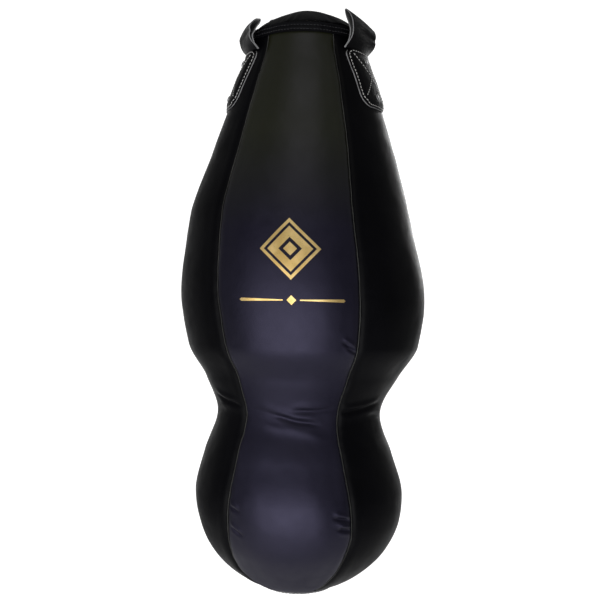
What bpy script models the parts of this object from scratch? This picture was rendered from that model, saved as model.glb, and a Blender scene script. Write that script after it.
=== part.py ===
"""Heavy punching bag with a narrow neck, a full belly, a drawn-in waist and a round lower bulb.

Metres, +Z up. The origin is the middle of the hanging plane, in which the four strap loops bear on
their shackles, so the bag lies below it. The front panel faces -Y. An azimuth is measured from the
front towards +X.
"""

import bisect
import math

import bmesh
import bpy
from mathutils import Matrix, Vector

# ---- fits
CLEARANCE = 0.0003  # between pieces that touch
SEAT_GAP = 0.0007  # under a curved piece that lies on the curved leather
SWING_GAP = 0.0018  # between a strap loop's root and the strap below it

# ---- materials' thicknesses
LEATHER = 0.0022  # body panels, lid, collar and strap patches
STRAP_PLY = 0.0022  # each of the two plies of a strap
PADDING = 0.015
BAND = 0.0022  # reinforcement inside the neck

# ---- outline of the leather: each step is how far a station lies below the one before it
PANEL_TOP = 0.026  # below the hanging plane
TOP_RADIUS = 0.1118
NECK_STEP = 0.019
NECK_RADIUS = 0.1147
STRAP_STEP = 0.1019
STRAP_RADIUS = 0.1500
SHOULDER_STEP = 0.1346
SHOULDER_RADIUS = 0.1938
CHEST_STEP = 0.1338
CHEST_RADIUS = 0.2322
BELLY_STEP = 0.1494
BELLY_RADIUS = 0.2530
HIP_STEP = 0.0995
HIP_RADIUS = 0.2392
TUCK_STEP = 0.0669
TUCK_RADIUS = 0.2007
WAIST_STEP = 0.0755
WAIST_RADIUS = 0.1706
FLARE_STEP = 0.0828
FLARE_RADIUS = 0.1958
BULB_STEP = 0.0820
BULB_RADIUS = 0.2155
BASE_DEPTH = 0.2148  # from the widest part of the bulb to the lowest point
OUTLINE_PARTS = 10  # sampled points between two stations
BASE_PARTS = 40
BISECTIONS = 50

# ---- body panels
PANELS = 5
SEAM_DIP = 0.03  # share of the radius by which a seam is drawn in
SEAM_POWER = 4  # how tightly the panel turns in at its seam
PANEL_COLUMNS = 8
PANEL_ROWS = 23
ROW_GROWTH = 1.2  # rows lie closer together at the neck than below
PIPING_RADIUS = 0.0012
PIPING_SIDES = 5
BASE_OPENING = 0.055  # radius at which the panels end below
BASE_PATCH_RADIUS = 0.072
BASE_PATCH_RINGS = 3

# ---- inside
LAYER_COLUMNS = 20
FILLING_ROWS = 13
RIVET_SPACE = 0.0042  # kept free for the rivets' ends inside the neck band
BAND_MARGIN = 0.0172  # the neck band reaches this far below the lower rivets
PADDING_TOP = 0.004  # padding starts this far below the panels' top edge
FILLING_CROWN = 0.0065  # space from the filling's crown to the lid's inner face
CROWN_TURNS = (0.30, 0.15)  # radians from the axis to the rings of the filling's crown
CROWN_EDGE = 0.95  # share of the filling's top ring that its crown covers at most

# ---- collar and lid
COLLAR_BOTTOM = 0.042  # below the hanging plane
COLLAR_TOP = 0.0186
LID_SPHERE = 0.157
LID_CROWN = 0.031  # above the hanging plane
LID_RIM_RADIUS = 0.1112
LID_SKIRT_BOTTOM = 0.0255
LID_COLUMNS = 28
LID_RINGS = 5

# ---- zip across the lid, from side to side
ZIP_LENGTH = 0.190  # along the arc of the lid
ZIP_OPENING = 0.016  # between the lid's two edges
TAPE_WIDTH = 0.0150  # each
TAPE = 0.0008
TAPE_GAP = 0.0011  # under the lid's flaps, whose faces are flat between their rings
TAPE_STEPS = 14
CHAIN_GAP = 0.0030  # between the two tapes
TOOTH_PITCH = 0.0046
TOOTH_THICKNESS = 0.0030
TOOTH_REACH = 0.0052
TOOTH_HEIGHT = 0.0020
TOOTH_SHIFT = 0.0008
STOP_LENGTH = 0.0045
SLIDER_LENGTH = 0.0140
SLIDER_WALL = 0.0014
SLIDER_PLATE = 0.0016
SLIDER_PLAY = 0.0006
SLIDER_NOSE = 0.2  # share of the slider's length that tapers
SLIDER_TAPER = 0.6  # share of the wall by which the nose narrows
BRIDGE_WIDTH = 0.0030
BRIDGE_LENGTH = 0.0080
BRIDGE_HEIGHT = 0.0042
BRIDGE_BAR = 0.0013
BRIDGE_CORNER = 0.5  # share of the bar's thickness that slopes off an inner corner
PULL_LENGTH = 0.030
PULL_WIDTH = 0.0100
PULL_THICKNESS = 0.0014
PULL_EYE_LENGTH = 0.0042
PULL_EYE_WIDTH = 0.0044
PULL_EYE_END = 0.55  # width of the pull where it is hung, as a share of its full width
PULL_SHOULDER = 0.75
PULL_TIP = 0.5
PULL_DROOP = 10  # degrees by which the pull leans down onto the slider's nose

# ---- straps
STRAP_PANELS = (1, 2, 3, 4)  # every panel but the front one
PATCH_WIDTH = 0.110
PATCH_LENGTH = 0.125
PATCH_TOP_CORNER = 0.016
PATCH_BOTTOM_CORNER = 0.026
PATCH_CORNER_ROWS = (0.3, 0.55, 0.2)  # rows in the top and bottom corners, as shares of them
PATCH_TABLE = 0.78  # share of the patch's half width that lies flat, where it is narrow
TAIL_WIDTH = 0.082
TAIL_LENGTH = 0.108
TAIL_ROWS = 4
TAIL_COLUMNS = 6
RIVET_TOP_AT = 0.022  # below the patch's top edge
RIVET_SPACING = 0.079
RIVET_SHANK = 0.0018
RIVET_HOLE = 0.0023
RIVET_HOLE_SIDES = 8
RIVET_HEAD = 0.0065
RIVET_HEAD_HEIGHT = 0.0021
RIVET_DOME = ((1.0, 0.0), (0.86, 0.6), (0.5, 0.9), (0.0, 1.0))  # shares of radius and height
RIVET_END_FLAT = 0.7  # share of the clenched end's radius
RIVET_SIDES = 10
BURR_RADIUS = 0.0050
BURR_THICKNESS = 0.0010
RIVET_END = 0.0028

LOOP_WIDTH = 0.110
LOOP_ROOT = 0.063  # where a loop starts on the panel, below the hanging plane
LOOP_GAP = 0.015  # between the plies, where a shackle goes
LOOP_SEAT = 0.007  # flat width of the seat
LOOP_STAND_OFF = 0.0070  # at half height, outwards from the root
LOOP_LEAN = -0.0020  # at the seat
LOOP_SPLIT = 0.15  # share of the height at which the plies part
LOOP_FOLD = 0.84  # share at which the fold starts to close
LOOP_FLAT = 0.55  # share by which the loop has lost the neck's curve
LOOP_COLUMNS = 4
LOOP_SIDE_LEVELS = 4  # between the split and the fold
LOOP_FOLD_LEVELS = 2
LOOP_FOOT_SIDES = 4

PANEL_ANGLE = 2 * math.pi / PANELS
PANEL_NAMES = ("front", "right", "rear_right", "rear_left", "left")
SEAM_NAMES = ("front_right", "right", "rear", "left", "front_left")


# ---- outline and surface of the leather


def stations():
    steps = (
        (0.0, TOP_RADIUS),
        (NECK_STEP, NECK_RADIUS),
        (STRAP_STEP, STRAP_RADIUS),
        (SHOULDER_STEP, SHOULDER_RADIUS),
        (CHEST_STEP, CHEST_RADIUS),
        (BELLY_STEP, BELLY_RADIUS),
        (HIP_STEP, HIP_RADIUS),
        (TUCK_STEP, TUCK_RADIUS),
        (WAIST_STEP, WAIST_RADIUS),
        (FLARE_STEP, FLARE_RADIUS),
        (BULB_STEP, BULB_RADIUS),
    )
    drop, found = PANEL_TOP, []
    for step, radius in steps:
        drop += step
        found.append((drop, radius))
    return found


def station_slopes(points):
    """Radius gained per metre of drop at each station, level at a widest or narrowest one."""
    runs = [(b[1] - a[1]) / (b[0] - a[0]) for a, b in zip(points, points[1:])]
    slopes = [runs[0]]
    for before, after in zip(runs, runs[1:]):
        level = before * after <= 0
        slopes.append(0.0 if level else 2 * before * after / (before + after))
    return slopes + [0.0]


def outline_points():
    """The leather's outline as (radius, height), from the panels' top edge to the lowest point."""
    points = stations()
    slopes = station_slopes(points)
    found = []
    for (d0, r0), (d1, r1), m0, m1 in zip(points, points[1:], slopes, slopes[1:]):
        run = d1 - d0
        for i in range(OUTLINE_PARTS):
            t = i / OUTLINE_PARTS
            radius = (
                (1 + 2 * t) * (1 - t) ** 2 * r0
                + t * (1 - t) ** 2 * run * m0
                + t * t * (3 - 2 * t) * r1
                + t * t * (t - 1) * run * m1
            )
            found.append((radius, -(d0 + run * t)))
    equator = -points[-1][0]
    for i in range(BASE_PARTS + 1):
        turn = math.pi / 2 * i / BASE_PARTS
        found.append((BULB_RADIUS * math.cos(turn), equator - BASE_DEPTH * math.sin(turn)))
    return found


OUTLINE = outline_points()
OUTLINE_RUN = [0.0]
for here, there in zip(OUTLINE, OUTLINE[1:]):
    OUTLINE_RUN.append(OUTLINE_RUN[-1] + math.dist(here, there))


def outline_at(run):
    """(radius, height, outward normal's radial and vertical part) this far down the outline."""
    run = min(max(run, 0.0), OUTLINE_RUN[-1])
    i = min(bisect.bisect_right(OUTLINE_RUN, run), len(OUTLINE_RUN) - 1)
    share = (run - OUTLINE_RUN[i - 1]) / (OUTLINE_RUN[i] - OUTLINE_RUN[i - 1])
    (r0, z0), (r1, z1) = OUTLINE[i - 1], OUTLINE[i]
    along = Vector((r1 - r0, z1 - z0)).normalized()
    return r0 + (r1 - r0) * share, z0 + (z1 - z0) * share, -along.y, along.x


def run_at(measure, value):
    """How far down the outline a measure that falls along it reaches the value."""
    low, high = 0.0, OUTLINE_RUN[-1]
    for _ in range(BISECTIONS):
        middle = (low + high) / 2
        if measure(middle) > value:
            low = middle
        else:
            high = middle
    return (low + high) / 2


def run_at_height(height):
    return run_at(lambda run: outline_at(run)[1], height)


def run_at_base_radius(radius):
    equator = run_at_height(-stations()[-1][0])
    return run_at(lambda run: outline_at(max(run, equator))[0], radius)


def seam_factor(azimuth):
    """1 at the middle of a panel, less towards its seams."""
    half = PANEL_ANGLE / 2
    off = (azimuth + half) % PANEL_ANGLE - half
    return 1 - SEAM_DIP * abs(off / half) ** SEAM_POWER


def surface(run, azimuth, lift=0.0):
    """A point this far above the leather's outer face, or below it where lift is negative."""
    radius, height, out, up = outline_at(run)
    radius = (radius + lift * out) * seam_factor(azimuth)
    return polar(radius, azimuth, height + lift * up)


def polar(radius, azimuth, height):
    return Vector((radius * math.sin(azimuth), -radius * math.cos(azimuth), height))


def spread(first, last, parts):
    return [first + (last - first) * i / parts for i in range(parts + 1)]


def panel_runs():
    """The rows of the leather, with one at the bend from the collar into the neck."""
    neck = run_at_height(-(PANEL_TOP + NECK_STEP))
    rest = run_at_base_radius(BASE_OPENING) - neck
    shares = [(i / (PANEL_ROWS - 1)) ** ROW_GROWTH for i in range(PANEL_ROWS)]
    return [0.0] + [neck + rest * share for share in shares]


def ring(run, lift, columns):
    return [surface(run, 2 * math.pi * i / columns, lift) for i in range(columns)]


# ---- meshes


def new_object(name, mesh, finish):
    obj = bpy.data.objects.new(name, mesh)
    bpy.context.scene.collection.objects.link(obj)
    if finish is not None:
        mesh.materials.clear()
        mesh.materials.append(finish)
    return obj


def finish_mesh(name, work, smooth_angle=40):
    bmesh.ops.recalc_face_normals(work, faces=work.faces)
    mesh = bpy.data.meshes.new(name)
    work.to_mesh(mesh)
    work.free()
    mesh.shade_smooth()
    mesh.set_sharp_from_angle(angle=math.radians(smooth_angle))
    return mesh


def add_rings(work, rings, wrap=False):
    """Joins rings of points into a skin. A ring of one point is a pole. Open ends get a face."""
    made = [[work.verts.new(point) for point in points] for points in rings]
    pairs = list(zip(made, made[1:]))
    if wrap:
        pairs.append((made[-1], made[0]))
    for a, b in pairs:
        count = max(len(a), len(b))
        for i in range(count):
            j = (i + 1) % count
            corners = [a[i % len(a)], a[j % len(a)], b[j % len(b)], b[i % len(b)]]
            work.faces.new(list(dict.fromkeys(corners)))
    if not wrap:
        for end in (made[0], made[-1]):
            if len(end) > 1:
                work.faces.new(end)


def rings_mesh(name, rings, wrap=False, smooth_angle=40):
    work = bmesh.new()
    add_rings(work, rings, wrap)
    return finish_mesh(name, work, smooth_angle)


def add_sheet(work, outer, inner):
    """A closed sheet between two grids of points, rows by columns."""
    top = [[work.verts.new(p) for p in row] for row in outer]
    low = [[work.verts.new(p) for p in row] for row in inner]
    rows, columns = len(top), len(top[0])
    for i in range(rows - 1):
        for j in range(columns - 1):
            for face in (top, low):
                work.faces.new((face[i][j], face[i][j + 1], face[i + 1][j + 1], face[i + 1][j]))
        for j in (0, columns - 1):
            work.faces.new((top[i][j], top[i + 1][j], low[i + 1][j], low[i][j]))
    for i in (0, rows - 1):
        for j in range(columns - 1):
            work.faces.new((top[i][j], top[i][j + 1], low[i][j + 1], low[i][j]))


def sheet_mesh(name, outer, inner):
    work = bmesh.new()
    add_sheet(work, outer, inner)
    return finish_mesh(name, work)


def add_box(work, low, high, place):
    made = bmesh.ops.create_cube(work, size=1.0)["verts"]
    size = Vector(high) - Vector(low)
    middle = (Vector(high) + Vector(low)) / 2
    for vert in made:
        vert.co = place @ (Vector(a * b for a, b in zip(vert.co, size)) + middle)


def cut(obj, cutter, operation="DIFFERENCE"):
    modifier = obj.modifiers.new(cutter.name, "BOOLEAN")
    modifier.operation = operation
    modifier.solver = "EXACT"
    modifier.object = cutter
    cutter.hide_render = True
    cutter.display_type = "WIRE"


def material(name, colour, roughness, metallic=0.0):
    made = bpy.data.materials.new(name)
    made.use_nodes = True
    shader = made.node_tree.nodes["Principled BSDF"]
    shader.inputs["Base Color"].default_value = (*colour, 1.0)
    shader.inputs["Roughness"].default_value = roughness
    shader.inputs["Metallic"].default_value = metallic
    made.diffuse_color = (*colour, 1.0)
    return made


# ---- body


def panel_mesh(name):
    """One body panel, between its two seams, with its middle at azimuth 0."""
    outer, inner = [], []
    for run in panel_runs():
        radius = outline_at(run)[0] * (1 - SEAM_DIP)
        half = PANEL_ANGLE / 2 - math.asin((PIPING_RADIUS + CLEARANCE) / radius)
        azimuths = spread(-half, half, PANEL_COLUMNS)
        outer.append([surface(run, a) for a in azimuths])
        inner.append([surface(run, a, -LEATHER) for a in azimuths])
    return sheet_mesh(name, outer, inner)


def build_panels(finish, drill):
    for i, name in enumerate(PANEL_NAMES):
        panel = new_object(f"panel_{name}", panel_mesh(f"panel_{name}"), finish)
        panel.rotation_euler.z = i * PANEL_ANGLE
        if i in STRAP_PANELS:
            cut(panel, drill[i])


def build_piping(finish):
    """A thin cord sewn into each seam, standing half its width above the leather."""
    first = run_at_height(-COLLAR_BOTTOM) + CLEARANCE
    last = run_at_base_radius(BASE_PATCH_RADIUS) - CLEARANCE
    for i, name in enumerate(SEAM_NAMES):
        azimuth = (i + 0.5) * PANEL_ANGLE
        side = Vector((math.cos(azimuth), math.sin(azimuth), 0.0))
        rings = []
        for run in [first, *[r for r in panel_runs() if first < r < last], last]:
            centre = surface(run, azimuth)
            out = (surface(run, azimuth, 1.0) - centre).normalized()
            turns = [2 * math.pi * k / PIPING_SIDES for k in range(PIPING_SIDES)]
            rings.append(
                [centre + PIPING_RADIUS * (out * math.cos(t) + side * math.sin(t)) for t in turns]
            )
        new_object(f"seam_piping_{name}", rings_mesh(f"seam_piping_{name}", rings), finish)


def build_base_patch(finish):
    """A round patch sewn over the panels' lower ends."""
    edge = run_at_base_radius(BASE_PATCH_RADIUS)
    runs = spread(edge, OUTLINE_RUN[-1], BASE_PATCH_RINGS)
    above, below = SEAT_GAP, SEAT_GAP + LEATHER
    rings = [[surface(runs[-1], 0.0, below)]]
    rings += [ring(run, below, LAYER_COLUMNS) for run in reversed(runs[:-1])]
    rings += [ring(run, above, LAYER_COLUMNS) for run in runs[:-1]]
    rings.append([surface(runs[-1], 0.0, above)])
    new_object("base_patch", rings_mesh("base_patch", rings), finish)


def band_end():
    """How far down the panels the neck band reaches."""
    return strap_top() + RIVET_TOP_AT + RIVET_SPACING + BAND_MARGIN


def padding_lift(run, deeper):
    """Depth of the padding's outer face, which leaves room for the band and the rivets' ends."""
    behind_band = run <= band_end() + deeper
    lift = LEATHER + CLEARANCE
    return -(lift + BAND + CLEARANCE + RIVET_SPACE) if behind_band else -lift


def build_padding_and_filling(padding_finish, filling_finish):
    last = OUTLINE_RUN[-1]
    margin = CLEARANCE + LEATHER
    outer_runs = sorted([PADDING_TOP, band_end() + margin, *panel_runs()[1:]])
    outer = [ring(run, padding_lift(run, margin), LAYER_COLUMNS) for run in outer_runs]
    inner_runs = spread(PADDING_TOP, last, FILLING_ROWS)[:-1]
    depth = padding_lift(0.0, margin) - PADDING
    inner = [ring(run, depth, LAYER_COLUMNS) for run in inner_runs]
    rings = [[surface(last, 0.0, padding_lift(last, margin))], *reversed(outer)]
    rings += [*inner, [surface(last, 0.0, depth)]]
    new_object("padding_layer", rings_mesh("padding_layer", rings), padding_finish)

    depth -= CLEARANCE
    rings = [[surface(last, 0.0, depth)]]
    rings += [ring(run, depth, LAYER_COLUMNS) for run in reversed(inner_runs)]
    dome = LID_SPHERE - LEATHER - FILLING_CROWN
    centre = LID_CROWN - LID_SPHERE
    for turn in CROWN_TURNS:
        radius = min(dome * math.sin(turn), rings[-1][0].xy.length * CROWN_EDGE)
        height = centre + dome * math.cos(turn)
        columns = range(LAYER_COLUMNS)
        rings.append([polar(radius, 2 * math.pi * k / LAYER_COLUMNS, height) for k in columns])
    rings.append([Vector((0.0, 0.0, centre + dome))])
    new_object("filling", rings_mesh("filling", rings), filling_finish)


def build_neck_band(finish, drills):
    """A reinforcing band inside the neck, which the strap rivets go through."""
    outer = -(LEATHER + CLEARANCE)
    runs = [run for run in panel_runs() if run < band_end()] + [band_end()]
    rings = [ring(run, outer, LAYER_COLUMNS) for run in runs]
    rings += [ring(run, outer - BAND, LAYER_COLUMNS) for run in reversed(runs)]
    band = new_object("neck_band", rings_mesh("neck_band", rings, wrap=True), finish)
    for drill in drills.values():
        cut(band, drill)


def build_collar(finish):
    """The hemmed ring of leather that holds the panels' top edges and the lid."""
    radius = outline_at(0.0)[0]
    levels = spread(run_at_height(-COLLAR_BOTTOM), 0.0, 2)
    columns = PANELS * PANEL_COLUMNS
    azimuths = [2 * math.pi * i / columns for i in range(columns)]
    inner = [[surface(run, a, SEAT_GAP) for a in azimuths] for run in levels]
    outer = [[surface(run, a, SEAT_GAP + LEATHER) for a in azimuths] for run in levels]
    for rings, lift in ((inner, SEAT_GAP), (outer, SEAT_GAP + LEATHER)):
        rings.append([polar((radius + lift) * seam_factor(a), a, -COLLAR_TOP) for a in azimuths])
    rings = [*outer, *reversed(inner)]
    new_object("collar", rings_mesh("collar", rings, wrap=True), finish)


# ---- lid and zip


def on_lid(x, y, radius):
    """A point over (x, y) on the sphere of this radius about the lid's centre."""
    return Vector((x, y, LID_CROWN - LID_SPHERE + math.sqrt(radius * radius - x * x - y * y)))


def lid_rings():
    rim = min(LID_RIM_RADIUS, TOP_RADIUS) * (1 - SEAM_DIP)
    rings = []
    for radius, wall in ((LID_SPHERE, 0.0), (LID_SPHERE - LEATHER, LEATHER)):
        edge = rim - wall
        side = [on_lid(edge * k / LID_RINGS, 0.0, radius) for k in range(1, LID_RINGS + 1)]
        heights = [(p.x, p.z) for p in side] + [(edge, -LID_SKIRT_BOTTOM)]
        azimuths = [2 * math.pi * i / LID_COLUMNS for i in range(LID_COLUMNS)]
        face = [[on_lid(0.0, 0.0, radius)]]
        face += [[polar(r, a, z) for a in azimuths] for r, z in heights]
        rings.append(face)
    return rings[0] + rings[1][::-1]


def build_lid(finish):
    for name, side in (("lid_front", -1), ("lid_rear", 1)):
        lid = new_object(name, rings_mesh(name, lid_rings()), finish)
        work = bmesh.new()
        reach = 2 * TOP_RADIUS
        near, far = sorted((side * ZIP_OPENING / 2, side * reach))
        add_box(work, (-reach, near, -reach), (reach, far, reach), Matrix())
        keep = new_object(f"{name}_keep", finish_mesh(f"{name}_keep", work), None)
        cut(lid, keep, "INTERSECT")


def tape_top():
    return LID_SPHERE - LEATHER - TAPE_GAP


def teeth_top():
    return tape_top() + CLEARANCE + TOOTH_HEIGHT


def zip_place(turn):
    """Frame on the chain: X along it, Z away from the lid's centre, at this turn from the crown."""
    centre = Matrix.Translation((0.0, 0.0, LID_CROWN - LID_SPHERE))
    return centre @ Matrix.Rotation(turn, 4, "Y")


def build_tapes(finish):
    half = ZIP_LENGTH / 2 / LID_SPHERE
    for name, side in (("zip_tape_front", -1), ("zip_tape_rear", 1)):
        across = [side * (CHAIN_GAP / 2 + TAPE_WIDTH * k / 2) for k in range(3)]
        faces = []
        for radius in (tape_top(), tape_top() - TAPE):
            turns = spread(-half, half, TAPE_STEPS)
            faces.append([[on_lid(radius * math.sin(t), y, radius) for y in across] for t in turns])
        new_object(name, sheet_mesh(name, *faces), finish)


def chain_turns():
    half = (ZIP_LENGTH / 2 - STOP_LENGTH - TOOTH_PITCH) / LID_SPHERE
    count = int(2 * half * LID_SPHERE / TOOTH_PITCH)
    return spread(-half, half, count)


def comb_mesh(name, side):
    """One tape's teeth, all on the cord that runs along the tape's edge."""
    tooth = TOOTH_THICKNESS / 2 / LID_SPHERE
    turns, bears = [], []
    for k, turn in enumerate(chain_turns()):
        if k % 2 == (side > 0):
            turns += [turn - tooth, turn + tooth]
            bears += [True, False]
    tip, root, back = -side * TOOTH_SHIFT, side * CHAIN_GAP / 2, side * (TOOTH_REACH - TOOTH_SHIFT)
    low, high = tape_top() + CLEARANCE, teeth_top()
    work = bmesh.new()
    made = {}
    for i, turn in enumerate(turns):
        for j, y in enumerate((tip, root + side * CLEARANCE, back)):
            for level, radius in enumerate((low, high)):
                made[i, j, level] = work.verts.new(zip_place(turn) @ Vector((0.0, y, radius)))
    cells = {(i, 1) for i in range(len(turns) - 1)}
    cells |= {(i, 0) for i in range(len(turns) - 1) if bears[i]}
    for i, j in cells:
        corners = ((i, j), (i + 1, j), (i + 1, j + 1), (i, j + 1))
        for level in (0, 1):
            work.faces.new([made[a, b, level] for a, b in corners])
        beyond = ((i, j - 1), (i + 1, j), (i, j + 1), (i - 1, j))
        for k, neighbour in enumerate(beyond):
            if neighbour not in cells:
                a, b = corners[k], corners[(k + 1) % 4]
                work.faces.new([made[*a, 0], made[*b, 0], made[*b, 1], made[*a, 1]])
    loose = [v for v in work.verts if not v.link_faces]
    bmesh.ops.delete(work, geom=loose, context="VERTS")
    return finish_mesh(name, work)


def build_teeth(finish):
    """A comb of teeth on each tape, which mesh along the middle, and a stop at each end."""
    for name, side in (("zip_teeth_front", -1), ("zip_teeth_rear", 1)):
        new_object(name, comb_mesh(name, side), finish)
    reach, half = TOOTH_REACH - TOOTH_SHIFT, STOP_LENGTH / 2
    low, high = tape_top() + CLEARANCE, teeth_top()
    for name, end in (("zip_stop_left", -1), ("zip_stop_right", 1)):
        turn = end * (ZIP_LENGTH - STOP_LENGTH) / 2 / LID_SPHERE
        work = bmesh.new()
        add_box(work, (-half, -reach, low), (half, reach, high), Matrix())
        stop = new_object(name, finish_mesh(name, work), finish)
        stop.matrix_world = zip_place(turn)


def slider_turn():
    """Where the slider rests with the zip closed, at the left end of the chain."""
    return chain_turns()[0] + (SLIDER_LENGTH / 2) / LID_SPHERE


def add_prism(work, loop, width, place):
    """A bar of this width along Y whose side outline is the loop of (x, z) points."""
    ends = []
    for y in (-width / 2, width / 2):
        ends.append([work.verts.new(place @ Vector((x, y, z))) for x, z in loop])
    work.faces.new(ends[0])
    work.faces.new(ends[1])
    for i in range(len(loop)):
        j = (i + 1) % len(loop)
        work.faces.new((ends[0][i], ends[0][j], ends[1][j], ends[1][i]))


def slider_top():
    return teeth_top() + SLIDER_PLAY + SLIDER_PLATE


def build_slider(finish):
    """A plate over the teeth with a wall down each side and a bridge that holds the pull."""
    inside = TOOTH_REACH - TOOTH_SHIFT + SLIDER_PLAY
    outside = inside + SLIDER_WALL
    nose_width = outside - SLIDER_WALL * SLIDER_TAPER
    floor, roof, top = tape_top() + SLIDER_PLAY, teeth_top() + SLIDER_PLAY, slider_top()
    half, nose = SLIDER_LENGTH / 2, SLIDER_LENGTH * SLIDER_NOSE
    section = (
        (-outside, floor),
        (-inside, floor),
        (-inside, roof),
        (inside, roof),
        (inside, floor),
        (outside, floor),
        (outside, top),
        (-outside, top),
    )
    rings = []
    for x, width in ((-half, outside), (half - nose, outside), (half, nose_width)):
        widths = [math.copysign(min(abs(y), width), y) for y, _ in section]
        rings.append([Vector((x, y, z)) for y, (_, z) in zip(widths, section)])
    body = new_object("zip_slider", rings_mesh("zip_slider", rings, smooth_angle=30), finish)

    work = bmesh.new()
    foot, bar, rise = BRIDGE_LENGTH / 2, BRIDGE_BAR, BRIDGE_HEIGHT
    base = slider_top() - SLIDER_PLATE / 2
    crest = slider_top() + rise
    hollow = crest - bar
    corner = bar * BRIDGE_CORNER
    loop = (
        (-foot, base),
        (-foot, hollow),
        (-foot + bar, crest),
        (foot - bar, crest),
        (foot, hollow),
        (foot, base),
        (foot - bar, base),
        (foot - bar, hollow - corner),
        (foot - bar - corner, hollow),
        (-foot + bar + corner, hollow),
        (-foot + bar, hollow - corner),
        (-foot + bar, base),
    )
    add_prism(work, loop, BRIDGE_WIDTH, Matrix())
    bridge = new_object("zip_slider_bridge", finish_mesh("zip_slider_bridge", work), None)
    bridge.matrix_world = zip_place(slider_turn())
    cut(body, bridge, "UNION")
    body.matrix_world = zip_place(slider_turn())


def pull_pivot():
    """Height of the pull's hinge line above the lid's centre, inside the bridge."""
    return slider_top() + BRIDGE_HEIGHT - BRIDGE_BAR - PULL_THICKNESS / 2 - CLEARANCE


def build_pull(finish):
    """A flat tab whose eye goes round the bridge's inner leg and which lies back along the zip."""
    eye, width = PULL_EYE_LENGTH, PULL_WIDTH / 2
    leg = BRIDGE_LENGTH / 2 - BRIDGE_BAR
    start = leg - CLEARANCE - PULL_THICKNESS
    slot = PULL_EYE_WIDTH / 2
    half = PULL_THICKNESS / 2
    tip = start + PULL_LENGTH
    outline = (
        (start, -width * PULL_EYE_END),
        (start + eye, -width * PULL_SHOULDER),
        (tip - width, -width),
        (tip, -width * PULL_TIP),
        (tip, width * PULL_TIP),
        (tip - width, width),
        (start + eye, width * PULL_SHOULDER),
        (start, width * PULL_EYE_END),
    )
    rings = [[Vector((x, y, z)) for x, y in outline] for z in (-half, half)]
    pull = new_object("zip_pull", rings_mesh("zip_pull", rings, smooth_angle=30), finish)
    work = bmesh.new()
    low = (start + PULL_THICKNESS, -slot, -4 * half)
    high = (start + PULL_THICKNESS + eye, slot, 4 * half)
    add_box(work, low, high, Matrix())
    hole = new_object("zip_pull_eye", finish_mesh("zip_pull_eye", work), None)
    cut(pull, hole)
    # the mesh is laid out along the chain, and its origin moved to the hinge line
    offset = Matrix.Translation((-(start + PULL_THICKNESS / 2), 0.0, 0.0))
    for obj in (pull, hole):
        obj.data.transform(offset)
        place = Matrix.Translation((start + PULL_THICKNESS / 2, 0.0, pull_pivot()))
        droop = Matrix.Rotation(math.radians(PULL_DROOP), 4, "Y")
        obj.matrix_world = zip_place(slider_turn()) @ place @ droop


# ---- straps, laid out at azimuth 0 and then turned to their panels


def root_run():
    """How far down the panel the straps' loops are rooted."""
    return run_at_height(-LOOP_ROOT)


def strap_top():
    return root_run() + STRAP_PLY + SWING_GAP


def on_strap(down, across, lift):
    run = strap_top() + down
    radius = outline_at(run)[0] + lift
    return surface(run, across / radius, lift)


def half_width(down):
    """Half the patch's width, this far below its top edge, with its corners rounded."""
    half = PATCH_WIDTH / 2
    for corner, left in ((PATCH_TOP_CORNER, down), (PATCH_BOTTOM_CORNER, PATCH_LENGTH - down)):
        if left < corner:
            half -= corner - math.sqrt(corner**2 - (corner - left) ** 2)
    return half


def patch_rows():
    top, bottom, length = PATCH_TOP_CORNER, PATCH_BOTTOM_CORNER, PATCH_LENGTH
    high, low, lowest = PATCH_CORNER_ROWS
    rows = [0.0, top * high, top]
    rows += spread(top, length - bottom, 3)[1:]
    return rows + [length - bottom * low, length - bottom * lowest, length]


def patch_mesh(name):
    """The leather patch over the strap's tail: it rises over the tail and comes down at its edges."""
    tail_top = SEAT_GAP + 2 * STRAP_PLY + CLEARANCE
    outer, inner = [], []
    for down in patch_rows():
        half = half_width(down)
        tail_half = TAIL_WIDTH / 2 + CLEARANCE
        inset = min(tail_half, half * PATCH_TABLE)
        across = [-half, -(half + inset) / 2, -inset, -inset / 2, 0.0]
        across += [-w for w in reversed(across[:-1])]
        below_tail = max(0.0, down - TAIL_LENGTH - CLEARANCE)
        fall = min(1.0, below_tail / (PATCH_LENGTH - TAIL_LENGTH))
        outer_row, inner_row = [], []
        for w in across:
            aside = max(0.0, abs(w) - inset) / max(half - inset, CLEARANCE)
            share = max(aside, fall)
            rise = tail_top * (1 + math.cos(math.pi * share)) / 2 + SEAT_GAP * share
            outer_row.append(on_strap(down, w, rise + LEATHER))
            inner_row.append(on_strap(down, w, SEAT_GAP))
        outer.append(outer_row)
        inner.append(inner_row)
    return sheet_mesh(name, outer, inner)


def tail_grid(lift, grow, above):
    half = TAIL_WIDTH / 2 + grow
    rows = spread(-above, TAIL_LENGTH + grow, TAIL_ROWS)
    columns = spread(-half, half, TAIL_COLUMNS)
    return [[on_strap(down, w, lift) for w in columns] for down in rows]


def tail_mesh(name):
    return sheet_mesh(
        name, tail_grid(SEAT_GAP + 2 * STRAP_PLY, 0.0, 0.0), tail_grid(SEAT_GAP, 0.0, 0.0)
    )


def pocket_mesh(name):
    """The tail's space inside the patch, open upwards."""
    top = tail_grid(SEAT_GAP + 2 * STRAP_PLY + CLEARANCE, CLEARANCE, 2 * SWING_GAP)
    low = tail_grid(-LEATHER, CLEARANCE, 2 * SWING_GAP)
    return sheet_mesh(name, top, low)


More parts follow.
